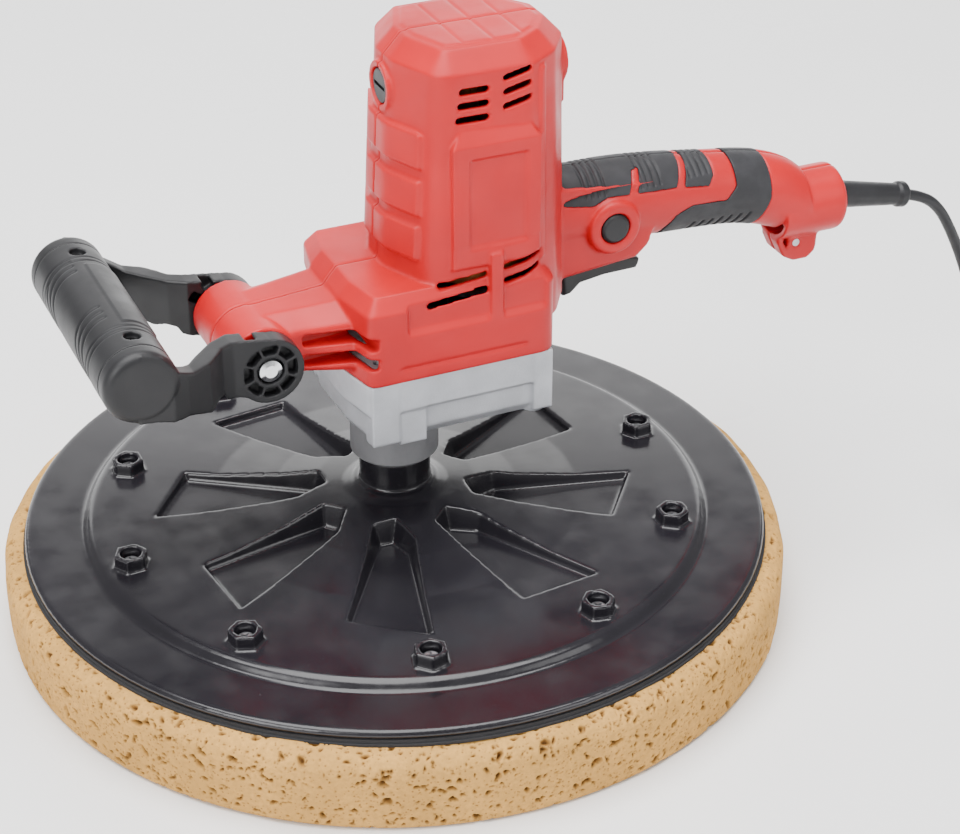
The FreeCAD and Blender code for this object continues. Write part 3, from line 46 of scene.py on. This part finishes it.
SCENE = bpy.context.scene
MM = 0.001


# ---------------------------------------------------------------- material helpers
class Shader:
    """A node material under construction, addressed by short calls."""

    def __init__(self, name, colour, rough, metal=0.0):
        self.material = bpy.data.materials.new(name)
        self.material.use_nodes = True
        self.tree = self.material.node_tree
        self.surface = self.tree.nodes["Principled BSDF"]
        self.place = self.add("ShaderNodeTexCoord").outputs["Object"]
        self.colour = colour
        self.rough = rough
        self.set("Metallic", metal)
        self.height = None

    def add(self, kind, **settings):
        """A new node of the given kind with its settings made."""
        node = self.tree.nodes.new(kind)
        for key, value in settings.items():
            setattr(node, key, value)
        return node

    def link(self, source, target):
        self.tree.links.new(source, target)

    def set(self, socket, value):
        self.surface.inputs[socket].default_value = value

    def noise(self, scale, detail=3.0, stretch=(1, 1, 1), distortion=0.0):
        """A noise from 0 to 1, its scale in cells per metre."""
        node = self.add("ShaderNodeTexNoise")
        node.inputs["Scale"].default_value = scale
        node.inputs["Detail"].default_value = detail
        node.inputs["Distortion"].default_value = distortion
        if stretch != (1, 1, 1):
            mapping = self.add("ShaderNodeMapping")
            mapping.inputs["Scale"].default_value = stretch
            self.link(self.place, mapping.inputs["Vector"])
            self.link(mapping.outputs["Vector"], node.inputs["Vector"])
        else:
            self.link(self.place, node.inputs["Vector"])
        return node.outputs["Fac"]

    def remap(self, value, low, high, to_low, to_high):
        """A value carried from one range to another, held at its ends."""
        node = self.add("ShaderNodeMapRange")
        ends = {"From Min": low, "From Max": high, "To Min": to_low, "To Max": to_high}
        for socket, number in ends.items():
            node.inputs[socket].default_value = number
        self.link(value, node.inputs["Value"])
        return node.outputs["Result"]

    def mix(self, factor, first, second):
        """A colour between two, each a colour or a link."""
        node = self.add("ShaderNodeMix", data_type="RGBA")
        self.link(factor, node.inputs[0])
        for socket, value in ((node.inputs[6], first), (node.inputs[7], second)):
            if isinstance(value, tuple):
                socket.default_value = (*value, 1)
            else:
                self.link(value, socket)
        return node.outputs[2]

    def bump(self, height, distance, strength=1.0):
        """Add a layer of relief, its depth in metres."""
        node = self.add("ShaderNodeBump")
        node.inputs["Distance"].default_value = distance
        node.inputs["Strength"].default_value = strength
        self.link(height, node.inputs["Height"])
        if self.height is not None:
            self.link(self.height, node.inputs["Normal"])
        self.height = node.outputs["Normal"]

    def tint(self, amount):
        """The base colour lightened or darkened."""
        return tuple(min(1.0, part * amount) for part in self.colour)

    def finish(self, colour, rough):
        """Link the colour, the roughness and the relief, and hand over the material."""
        self.link(colour, self.surface.inputs["Base Color"])
        self.link(rough, self.surface.inputs["Roughness"])
        if self.height is not None:
            self.link(self.height, self.surface.inputs["Normal"])
        return self.material


def worn(shader, colour, edge_colour, amount):
    """Edges rubbed paler where the surface is sharply convex."""
    geometry = shader.add("ShaderNodeNewGeometry")
    edges = shader.remap(geometry.outputs["Pointiness"], 0.53, 0.62, 0.0, amount)
    patches = shader.remap(shader.noise(140, 4), 0.4, 0.62, 0.0, 1.0)
    both = shader.add("ShaderNodeMath", operation="MULTIPLY")
    shader.link(edges, both.inputs[0])
    shader.link(patches, both.inputs[1])
    return shader.mix(both.outputs[0], colour, edge_colour)


def moulded_plastic(name, colour, rough, grain=1.0, edge=0.25, grain_scale=2600):
    """Plastic with a fine spark-eroded grain, mottled slightly and rubbed at its edges."""
    shader = Shader(name, colour, rough)
    shader.set("Specular IOR Level", 0.35)
    broad = shader.noise(22, 3)
    base = shader.mix(shader.remap(broad, 0.35, 0.65, 0.0, 1.0), shader.tint(0.9), shader.tint(1.08))
    base = worn(shader, base, shader.tint(1.9), edge)
    shader.bump(shader.noise(grain_scale, 2), 0.00005 * grain, 0.5)
    shader.bump(shader.noise(300, 2), 0.00004 * grain, 0.4)
    return shader.finish(base, shader.remap(shader.noise(70, 4), 0.3, 0.7, rough - 0.06, rough + 0.08))


def soft_rubber(name, colour, rough):
    """Matt rubber with a powdery mottle."""
    shader = Shader(name, colour, rough)
    shader.set("Specular IOR Level", 0.35)
    dust = shader.remap(shader.noise(90, 5), 0.42, 0.7, 0.0, 1.0)
    base = shader.mix(dust, shader.tint(0.9), shader.tint(1.35))
    shader.bump(shader.noise(1900, 3), 0.00008, 0.6)
    return shader.finish(base, shader.remap(shader.noise(240, 3), 0.3, 0.7, rough - 0.07, rough + 0.07))


def plate_plastic():
    """Glossy near-black plate: faint flow marks, a little dust and rubbed edges."""
    shader = Shader("plate_plastic", (0.011, 0.01, 0.013), 0.2)
    flow = shader.noise(14, 4)
    base = shader.mix(shader.remap(flow, 0.35, 0.7, 0.0, 1.0), shader.tint(0.85), shader.tint(1.25))
    dust = shader.remap(shader.noise(700, 3), 0.7, 0.8, 0.0, 0.3)
    base = shader.mix(dust, base, (0.09, 0.085, 0.085))
    base = worn(shader, base, (0.12, 0.11, 0.12), 0.45)
    smudges = shader.noise(60, 5)
    shader.bump(shader.noise(1200, 2), 0.000012, 0.3)
    shader.bump(shader.noise(11, 1), 0.0008, 0.35)
    return shader.finish(base, shader.remap(smudges, 0.35, 0.7, 0.15, 0.27))


def metal(name, colour, rough, grain=1.0, grain_scale=900, metallic=1.0, spread=0.1):
    """A machined or cast metal with a grain of its own."""
    shader = Shader(name, colour, rough, metallic)
    mottle = shader.remap(shader.noise(45, 4), 0.35, 0.68, 0.0, 1.0)
    base = shader.mix(mottle, shader.tint(0.86), shader.tint(1.1))
    base = worn(shader, base, shader.tint(1.3), 0.4)
    shader.bump(shader.noise(grain_scale, 3), 0.00012 * grain, 0.6)
    return shader.finish(base, shader.remap(shader.noise(160, 3), 0.3, 0.7, rough - spread, rough + spread))


def sponge_foam():
    """Tan open-cell sponge, with shade painted inside its pores."""
    colour = (0.6, 0.33, 0.09)
    shader = Shader("sponge_foam", colour, 0.95)
    shader.set("Specular IOR Level", 0.15)
    broad = shader.remap(shader.noise(28, 4), 0.3, 0.7, 0.0, 1.0)
    base = shader.mix(broad, shader.tint(0.86), shader.tint(1.12))
    fine = shader.remap(shader.noise(420, 5), 0.35, 0.65, 0.0, 1.0)
    base = shader.mix(fine, shader.mix(broad, shader.tint(0.78), shader.tint(0.9)), base)
    cells = shader.add("ShaderNodeTexVoronoi")
    cells.inputs["Scale"].default_value = 430
    shader.link(shader.place, cells.inputs["Vector"])
    # painted shade: the middles of the cells are darkened as pinholes, standing in for the shade inside open
    # pores
    pinhole_shade = shader.remap(cells.outputs["Distance"], 0.1, 0.26, 0.75, 0.0)
    base = shader.mix(pinhole_shade, base, (0.2, 0.095, 0.028))
    # painted shade inside the pits of the sponge's side, read from the pore attribute
    pore = shader.add("ShaderNodeAttribute", attribute_name="pore")
    painted_pore_shade = shader.remap(pore.outputs["Fac"], 0.12, 0.75, 0.0, 1.0)
    base = shader.mix(painted_pore_shade, base, (0.105, 0.045, 0.012))
    shader.bump(cells.outputs["Distance"], 0.0006, 0.5)
    shader.bump(shader.noise(900, 4), 0.0003, 0.6)
    return shader.finish(base, shader.remap(fine, 0.0, 1.0, 0.85, 1.0))


def hook_cloth():
    """Black hook-and-loop cloth."""
    shader = Shader("hook_cloth", (0.02, 0.02, 0.022), 0.9)
    pile = shader.noise(1400, 4)
    base = shader.mix(pile, shader.tint(0.6), shader.tint(1.6))
    shader.bump(pile, 0.0004, 0.8)
    return shader.finish(base, shader.remap(pile, 0, 1, 0.8, 1.0))


MATERIALS = {
    "sponge": sponge_foam(),
    "hook_cloth": hook_cloth(),
    "plate_plastic": plate_plastic(),
    "zinc_steel": metal("zinc_steel", (0.5, 0.5, 0.52), 0.35),
    "blackened_steel": metal("blackened_steel", (0.02, 0.02, 0.021), 0.5),
    "machine_steel": metal("machine_steel", (0.32, 0.32, 0.33), 0.38),
    "bronze": metal("bronze", (0.36, 0.22, 0.09), 0.45),
    "cast_aluminium": metal("cast_aluminium", (0.5, 0.51, 0.54), 0.5, 1.6, 1300, 0.55, 0.06),
    "neck_metal": metal("neck_metal", (0.24, 0.24, 0.25), 0.45, 1.2, 1300, 0.4, 0.06),
    "lamination_steel": metal("lamination_steel", (0.2, 0.2, 0.21), 0.5, 1.0),
    "copper": metal("copper", (0.45, 0.16, 0.06), 0.4),
    "carbon": soft_rubber("carbon", (0.02, 0.02, 0.02), 0.55),
    "red_casing": moulded_plastic("red_casing", (0.5, 0.006, 0.01), 0.42, 1.0, 0.25),
    "soft_grip": soft_rubber("soft_grip", (0.024, 0.024, 0.027), 0.58),
    "black_plastic": moulded_plastic("black_plastic", (0.013, 0.013, 0.0145), 0.42, 1.3, 0.3, 1700),
    "bolt_chrome": metal("bolt_chrome", (0.75, 0.76, 0.78), 0.16, 0.4),
    "cord_jacket": soft_rubber("cord_jacket", (0.015, 0.015, 0.017), 0.45),
    "plug_metal": metal("plug_metal", (0.6, 0.58, 0.52), 0.25),
}


# ---------------------------------------------------------------- piece helpers
def link_piece(name, mesh, slot, body):
    """Put a finished mesh in the scene, riding on its body."""
    piece = bpy.data.objects.new(name, mesh)
    SCENE.collection.objects.link(piece)
    mesh.materials.clear()
    mesh.materials.append(MATERIALS[slot])
    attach(piece, body)
    return piece


def mesh_from(name, points, faces):
    """A smooth-shaded mesh from vertex and face lists."""
    mesh = bpy.data.meshes.new(name)
    mesh.from_pydata([tuple(point) for point in points], [], [tuple(int(i) for i in face) for face in faces])
    mesh.polygons.foreach_set("use_smooth", [True] * len(mesh.polygons))
    return mesh


def settled(piece):
    """The mesh of an object with its modifiers carried out."""
    graph = bpy.context.evaluated_depsgraph_get()
    return bpy.data.meshes.new_from_object(piece.evaluated_get(graph))


SLOT_OF = {entry["node"]: entry["material_slot"] for entry in frame["record"]["subparts"]}
BODY_OF = {node: body for body, members in frame["record"]["behaviour"]["bodies"].items() for node in members}


def moulded(node, voxel, passes):
    """A CAD node's own shape with the soft edges of a moulding, standing in for the node."""
    draft = bpy.data.objects.new(node + "_draft", NODES[node].data.copy())
    SCENE.collection.objects.link(draft)
    skin = draft.modifiers.new("skin", "REMESH")
    skin.mode = "VOXEL"
    skin.voxel_size = voxel * MM
    skin.use_smooth_shade = True
    soften = draft.modifiers.new("soften", "SMOOTH")
    soften.factor = 0.5
    soften.iterations = passes
    mesh = settled(draft)
    mesh.name = node + "_moulded"
    bpy.data.objects.remove(draft)
    piece = link_piece(node + "_moulded", mesh, SLOT_OF[node], BODY_OF[node])
    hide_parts(node)
    return piece


def grid_faces(rows, columns):
    """Quads of a grid that closes on itself along its columns."""
    first = np.arange(rows - 1)[:, None] * columns + np.arange(columns)[None, :]
    turned = np.roll(first, -1, axis=1)
    return np.stack([first, turned, turned + columns, first + columns], axis=-1).reshape(-1, 4)


# ---------------------------------------------------------------- sponge
SPONGE_RADIUS = 190 * MM
SPONGE_HEIGHT = 38 * MM
TOP_ROUND = 9 * MM
LOW_ROUND = 2.5 * MM
PROFILE_STEP = 0.6 * MM
UNDERSIDE_STEP = 4 * MM
TOP_STEPS = 6
COLUMNS = 2000
RIM_BAND = 12 * MM  # the outer part of the section, which bulges and carries the pores
RIM_BULGE = 0.6  # mm
SWELLS = ((0.35, 5, 0.4), (0.25, 9, 2.0), (0.18, 23, 1.1), (0.12, 47, 0.2))  # mm, waves per turn, phase
PORE_SEED = 41
PORE_COUNT = 9500
SMALLEST_PORE = 0.3  # mm
LARGEST_PORE = 2.3  # mm
PORE_REACH = 1.8  # as far from its middle as a pore is worked out, in pore sizes
PORE_DEPTH = 1.25  # in pore sizes
PORE_SHADE_REACH = 1.25  # where a pore's painted shade ends, in pore sizes


def rim_round(radius, centre_z, first, last):
    """A quarter round of the section at the rim, between two angles in degrees."""
    centre_x = SPONGE_RADIUS - radius
    count = max(4, int(radius * math.pi / 2 / PROFILE_STEP))
    turns = np.radians(np.linspace(first, last, count))
    return [(centre_x + radius * math.cos(turn), centre_z + radius * math.sin(turn)) for turn in turns]


def sponge_profile():
    """Half section from the middle of the underside round to under the plate."""
    flat_end = SPONGE_RADIUS - LOW_ROUND - UNDERSIDE_STEP
    side_top = SPONGE_HEIGHT - TOP_ROUND
    points = [(r, 0.0) for r in np.arange(UNDERSIDE_STEP, flat_end, UNDERSIDE_STEP)]
    points += rim_round(LOW_ROUND, LOW_ROUND, -90, 0)
    points += [(SPONGE_RADIUS, z) for z in np.arange(LOW_ROUND + PROFILE_STEP, side_top, PROFILE_STEP)]
    points += rim_round(TOP_ROUND, side_top, 0, 90)
    points += [(SPONGE_RADIUS - TOP_ROUND - PROFILE_STEP * (k + 1), SPONGE_HEIGHT) for k in range(TOP_STEPS)]
    return np.array(points)


def pore_distance(across, down, size, stretch, lean, wobble):
    """Distance from a pore's middle, reaching 1 at its uneven edge."""
    u = (across + lean * down) * stretch
    v = down / stretch
    bearing = np.arctan2(v, u)
    waves = 1 + 0.16 * np.sin(2 * bearing + wobble) + 0.1 * np.sin(3 * bearing - wobble)
    return np.hypot(u, v) / (size * waves)


def pore_fields(along, side_start):
    """The depth of the pores, and the shade painted into and round them, at every row and column of the skin.
    """
    rng = np.random.default_rng(PORE_SEED)
    depth = np.zeros((len(along), COLUMNS))
    pore_shade = np.zeros((len(along), COLUMNS))
    spacing = 2 * math.pi * SPONGE_RADIUS / COLUMNS
    for _ in range(PORE_COUNT):
        size = min(LARGEST_PORE, SMALLEST_PORE + rng.gamma(1.1, 0.3)) * MM
        centre_s = rng.uniform(side_start, along[-1] + 2 * MM)
        centre_t = rng.integers(0, COLUMNS)
        stretch = rng.uniform(0.65, 1.3)
        lean = rng.uniform(-0.6, 0.6)
        wobble = rng.uniform(0, 2 * math.pi)
        reach = int(size * PORE_REACH / spacing) + 2
        near = np.abs(along - centre_s) < size * PORE_REACH
        picks = np.arange(-reach, reach + 1)
        across = picks[None, :] * spacing
        down = (along[near] - centre_s)[:, None]
        distance = pore_distance(across, down, size, stretch, lean, wobble)
        pit = np.clip(1 - distance ** 3, 0, 1)
        # painted shade, darkest in the pit's middle and fading just past its edge
        shade = np.clip(PORE_SHADE_REACH - distance, 0, 1) / PORE_SHADE_REACH * min(1.0, size / MM)
        at = np.ix_(np.where(near)[0], (centre_t + picks) % COLUMNS)
        depth[at] = np.maximum(depth[at], pit * size * PORE_DEPTH)
        pore_shade[at] = np.maximum(pore_shade[at], shade)
    return depth, pore_shade


def make_sponge():
    """The sponge, its side pitted with real pores of many sizes."""
    profile = sponge_profile()
    rows = len(profile)
    along = np.concatenate([[0], np.cumsum(np.hypot(*np.diff(profile, axis=0).T))])
    turns = np.linspace(0, 2 * math.pi, COLUMNS, endpoint=False)
    slope = np.gradient(profile, axis=0)
    normal = np.stack([slope[:, 1], -slope[:, 0]], axis=1)
    normal /= np.linalg.norm(normal, axis=1)[:, None]
    on_rim = profile[:, 0] > SPONGE_RADIUS - RIM_BAND
    depth, pore_shade = pore_fields(along, along[np.argmax(on_rim)])
    swell = sum(amount * np.sin(count * turns + phase) for amount, count, phase in SWELLS) * MM
    height = np.clip(profile[:, 1] / SPONGE_HEIGHT, 0, 1)
    bulge = np.where(on_rim, np.sin(math.pi * height) * RIM_BULGE * MM, 0)
    off_floor = np.where(height > 0.05, 1, 0)
    shift = bulge[:, None] + swell[None, :] * off_floor[:, None] - depth
    radius = profile[:, 0][:, None] + normal[:, 0][:, None] * shift
    level = np.maximum(profile[:, 1][:, None] + normal[:, 1][:, None] * shift, 0)
    points = np.stack([radius * np.cos(turns), radius * np.sin(turns), level], axis=-1).reshape(-1, 3)
    faces = [list(face) for face in grid_faces(rows, COLUMNS)]
    faces.append(list(range(COLUMNS))[::-1])
    faces.append(list(range((rows - 1) * COLUMNS, rows * COLUMNS)))
    mesh = mesh_from("sponge", points, faces)
    # the pore attribute carries the painted shade of the pits to the sponge material
    values = mesh.attributes.new("pore", "FLOAT", "POINT")
    values.data.foreach_set("value", pore_shade.ravel().astype(np.float32))
    piece = link_piece("sponge", mesh, "sponge", "disc")
    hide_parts("sponge_pad")


# ---------------------------------------------------------------- front grip tube
BAR_CENTRE = Vector((-137.2, 0, 173.6)) * MM
BAR_RADIUS = 17 * MM
BAR_VOXEL = 0.55  # mm
BAR_PASSES = 3
BAR_SKIN = 0.6 * MM  # depth of the outer skin that is reshaped
RING_PLACES = (33.4, 37.2)  # mm from the bar's middle
RING_DEPTH = 0.45  # mm
RING_WIDTH = 0.55  # mm
GROOVE_STARTS = (35, -12)  # mm along the bar, each the first of a set of three
GROOVE_PITCH = 5.2  # mm
GROOVE_FIRST = 14  # degrees from straight up where a groove starts
GROOVE_SWEEP = 100  # degrees round the bar
GROOVE_RUN = 21  # mm along the bar
GROOVE_REACH = 40 * MM
GROOVE_DEPTH = 0.55  # mm
GROOVE_WIDTH = 0.75  # mm
PANEL_HALF = 30 * MM
PANEL_TURNS = (-72, -4)  # degrees from straight up, positive towards the front
PANEL_EDGE = 3  # degrees
PANEL_LIFT = 0.5  # mm


def groove_lines():
    """The curved grooves at each end of the bar as (arc, along) points, in metres."""
    lines = []
    share = np.linspace(0, 1, 60)
    for start in GROOVE_STARTS:
        for step in range(3):
            angle = np.radians(GROOVE_FIRST + GROOVE_SWEEP * (1 - (1 - share) ** 1.7))
            along = (start - GROOVE_PITCH * step - GROOVE_RUN * share ** 1.8) * MM
            lines.append(np.stack([angle * BAR_RADIUS, along], axis=1))
    return np.concatenate(lines)


def ring_depth(along):
    """The depth of the two thin ring lines near each end of the bar."""
    depth = np.zeros(len(along))
    for ring in RING_PLACES:
        depth += RING_DEPTH * MM * np.exp(-((np.abs(along) - ring * MM) / (RING_WIDTH * MM)) ** 2)
    return depth


def groove_depth(angle, along):
    """The depth of the curved grooves, from each point's distance to the nearest of their lines."""
    flat = np.stack([angle * BAR_RADIUS, along], axis=1)
    nearest = np.full(len(flat), 1.0)
    for line_point in groove_lines():
        nearest = np.minimum(nearest, np.hypot(*(flat - line_point).T))
    return GROOVE_DEPTH * MM * np.exp(-(nearest / (GROOVE_WIDTH * MM)) ** 2)


def panel_share(angle, along):
    """1 on the smooth panel, falling to 0 just past its edges."""
    turn = np.degrees(angle)
    first, last = PANEL_TURNS
    across = np.clip((turn - first) / PANEL_EDGE, 0, 1) * np.clip((last - turn) / PANEL_EDGE, 0, 1)
    return across * np.clip((PANEL_HALF - along) / MM, 0, 1) * np.clip((along + PANEL_HALF) / MM, 0, 1)


def make_grip_tube():
    """The bar's skin: ring lines, curved grooves and a raised smooth panel."""
    piece = moulded("grip_tube", BAR_VOXEL, BAR_PASSES)
    mesh = piece.data
    points = np.zeros(len(mesh.vertices) * 3)
    mesh.vertices.foreach_get("co", points)
    points = points.reshape(-1, 3)
    x = points[:, 0] - BAR_CENTRE.x
    z = points[:, 2] - BAR_CENTRE.z
    along = points[:, 1]
    radius = np.hypot(x, z)
    angle = np.arctan2(-x, z)
    outer = radius > BAR_RADIUS - BAR_SKIN
    lift = -ring_depth(along)
    grooved = np.where(outer & (np.abs(along) < GROOVE_REACH))[0]
    lift[grooved] -= groove_depth(angle[grooved], along[grooved])
    lift += panel_share(angle, along) * PANEL_LIFT * MM
    share = np.where(outer, lift / np.maximum(radius, MM), 0)
    points[:, 0] += x * share
    points[:, 2] += z * share
    mesh.vertices.foreach_set("co", points.ravel())
    mesh.update()


# ---------------------------------------------------------------- cord
CORD_ROUTE = [  # mm, from the boot's mouth to where the coil begins
    (281.2, 0, 157.3), (293.9, 0.1, 153.6), (304.6, 0.4, 144.4), (313.3, 0.9, 130.5), (322.5, 1.5, 112.5),
    (331, 2, 92), (338.3, 2, 69.5), (343.6, 1, 48.5), (347.4, -2.4, 32.3), (351.4, -7.6, 19.6),
    (356.6, -14.8, 10.4), (363, -24, 5), (370, -35.2, 2.9), (375.9, -47.4, 2.9), (380.6, -59.8, 2.9),
]
PLUG_ROUTE = [  # mm, from the coil's end into the plug
    (380.6, -122.9, 8.9), (378, -130.8, 9.2), (375.6, -140.4, 10.5), (374.3, -150.2, 12.3),
    (374, -159.8, 13.4),
]
CORD_RADIUS = 2.8  # mm
COIL_CENTRE = (342, -91.4)
COIL_COLUMNS = (47, 41, 35, 29)  # radius of each column of turns, in mm
COIL_FLOOR = 2.9
COIL_PITCH = 6
COIL_STEP = 15  # degrees between points
COIL_ENTRY = 20
HALF_SECTOR = 45  # degrees either side of the change from one turn to the next
LAYER_TUCK = 0.37  # how far the cord leans inwards where it climbs, in pitches


def coil_turns():
    """Points of the stored coil: inwards on the floor, up, then outwards on top."""
    lanes = [(radius, 0) for radius in COIL_COLUMNS] + [(radius, 1) for radius in reversed(COIL_COLUMNS)]
    swing = 2 * COIL_ENTRY + 360 * (len(lanes) - 1)
    points = []
    for travelled in range(0, swing + 1, COIL_STEP):
        lane = 0
        share = 0.0
        for change in range(len(lanes) - 1):
            start = 180 + COIL_ENTRY + 360 * change - HALF_SECTOR
            if travelled >= start:
                lane = change
                share = min(1.0, (travelled - start) / (2 * HALF_SECTOR))
        (radius, layer), (next_radius, next_layer) = lanes[lane], lanes[min(lane + 1, len(lanes) - 1)]
        if travelled < 180 + COIL_ENTRY - HALF_SECTOR:
            next_radius, next_layer = radius, layer
        reach = radius + (next_radius - radius) * share
        if layer != next_layer:
            reach -= LAYER_TUCK * COIL_PITCH * math.sin(math.pi * share) ** 0.6
        height = COIL_FLOOR + COIL_PITCH * (layer + (next_layer - layer) * share)
        angle = math.radians(COIL_ENTRY - travelled)
        points.append((COIL_CENTRE[0] + reach * math.cos(angle),
                       COIL_CENTRE[1] + reach * math.sin(angle), height))
    return points


def make_cord():
    """The lead: down from the boot, into its coil and on to the plug, as one spline."""
    curve = bpy.data.curves.new("cord", "CURVE")
    curve.dimensions = "3D"
    curve.bevel_depth = CORD_RADIUS * MM
    curve.bevel_resolution = 6
    curve.resolution_u = 6
    curve.use_fill_caps = True
    spline = curve.splines.new("NURBS")
    route = CORD_ROUTE + coil_turns() + PLUG_ROUTE
    spline.points.add(len(route) - 1)
    for point, place in zip(spline.points, route):
        point.co = (*(number * MM for number in place), 1)
    spline.order_u = 3
    spline.use_endpoint_u = True
    curve.materials.append(MATERIALS["cord_jacket"])
    cord = bpy.data.objects.new("cord", curve)
    SCENE.collection.objects.link(cord)
    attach(cord, "root")
    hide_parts("cord_run", "cord_coil")


# ---------------------------------------------------------------- CAD nodes
MOULDED = {  # node: voxel in mm, smoothing passes
    "housing_left": (0.8, 5), "housing_right": (0.8, 5), "gearbox_case": (0.7, 4),
    "handle_arm_left": (0.6, 6), "handle_arm_right": (0.6, 6),
    "grip_upper_left": (0.45, 3), "grip_upper_right": (0.45, 3),
    "grip_rear_left": (0.45, 3), "grip_rear_right": (0.45, 3),
    "trigger": (0.4, 3), "lock_button": (0.35, 3),
    "strain_relief": (0.4, 2), "backing_plate": (0.8, 4),
}
BEVELLED = {  # node: bevel width in mm
    "spindle_neck": 0.6, "bearing_plate": 0.4, "brush_caps": 0.3, "cord_tie": 0.3, "pivot_nut": 0.3,
    "pivot_bolt": 0.25, "gearbox_screws": 0.2, "plate_screws": 0.15, "grip_screws": 0.15,
    "housing_screws": 0.15,
}


def dress_nodes():
    """Give every CAD node its material, and the listed ones a small bevel where their edges catch the light.
    """
    for node, piece in NODES.items():
        piece.data.materials.clear()
        piece.data.materials.append(MATERIALS[SLOT_OF[node]])
    for node, width in BEVELLED.items():
        bevel = NODES[node].modifiers.new("edge", "BEVEL")
        bevel.width = width * MM
        bevel.segments = 2
        bevel.limit_method = "ANGLE"
        bevel.angle_limit = math.radians(32)
        bevel.harden_normals = False


# ---------------------------------------------------------------- stage, light and camera
FLOOR_HALF = 6.0
FLOOR_DROP = 0.0005  # the floor lies just under the sponge, so that their faces don't fight
WORLD_STRENGTH = 0.4
LIGHTS = {  # name: place, target, width and height in metres, power in watts
    "overhead": ((-0.2, -0.1, 2.4), (0, 0, 0.12), 2.4, 2.4, 150),
    "key": ((-2.3, -1.3, 1.5), (0, 0, 0.12), 1.6, 1.6, 60),
    "side": ((1.3, -2.0, 1.3), (0, 0, 0.12), 1.4, 1.4, 20),
    "backdrop": ((1.1, 2.8, 0.85), (0, 0, 0.6), 4.5, 1.9, 70),
}
CAMERA_PLACE = (-0.3478, -0.8829, 0.6620)
CAMERA_TILT = 59.05
CAMERA_TURN = -24.0
CAMERA_LENS = 86.3
SENSOR_WIDTH = 36


def make_floor():
    """A plain pale floor."""
    half = FLOOR_HALF
    corners = [(-half, -half, 0), (half, -half, 0), (half, half, 0), (-half, half, 0)]
    mesh = mesh_from("floor", corners, [(0, 1, 2, 3)])
    shader = Shader("floor", (0.9, 0.9, 0.9), 0.9)
    shader.set("Specular IOR Level", 0.1)
    tone = shader.remap(shader.noise(4, 2), 0.3, 0.7, 0.0, 1.0)
    mesh.materials.append(shader.finish(shader.mix(tone, (0.88, 0.88, 0.88), (0.92, 0.92, 0.92)), tone))
    floor = bpy.data.objects.new("floor", mesh)
    floor.location.z = -FLOOR_DROP
    SCENE.collection.objects.link(floor)


def area_light(name, place, target, width, height, power):
    """A rectangular softbox aimed at a point."""
    light = bpy.data.lights.new(name, "AREA")
    light.shape = "RECTANGLE"
    light.size = width
    light.size_y = height
    light.energy = power
    lamp = bpy.data.objects.new(name, light)
    lamp.location = place
    lamp.rotation_euler = (Vector(target) - Vector(place)).to_track_quat("-Z", "Y").to_euler()
    SCENE.collection.objects.link(lamp)


def make_light():
    """A dim room, an overhead softbox, a key, a weak side light and a backdrop the plate mirrors."""
    world = bpy.data.worlds.new("room")
    SCENE.world = world
    world.use_nodes = True
    walls = world.node_tree.nodes["Background"]
    walls.inputs["Color"].default_value = (1, 1, 1, 1)
    walls.inputs["Strength"].default_value = WORLD_STRENGTH
    for name, settings in LIGHTS.items():
        area_light(name, *settings)


def make_camera():
    """The camera, looking down across the near side from the front."""
    data = bpy.data.cameras.new("camera")
    data.lens = CAMERA_LENS
    data.sensor_width = SENSOR_WIDTH
    camera = bpy.data.objects.new("camera", data)
    camera.location = CAMERA_PLACE
    camera.rotation_euler = (math.radians(CAMERA_TILT), 0, math.radians(CAMERA_TURN))
    SCENE.collection.objects.link(camera)
    SCENE.camera = camera


dress_nodes()
make_sponge()
for name, (voxel, passes) in MOULDED.items():
    moulded(name, voxel, passes)
make_grip_tube()
make_cord()
make_floor()
make_light()
make_camera()
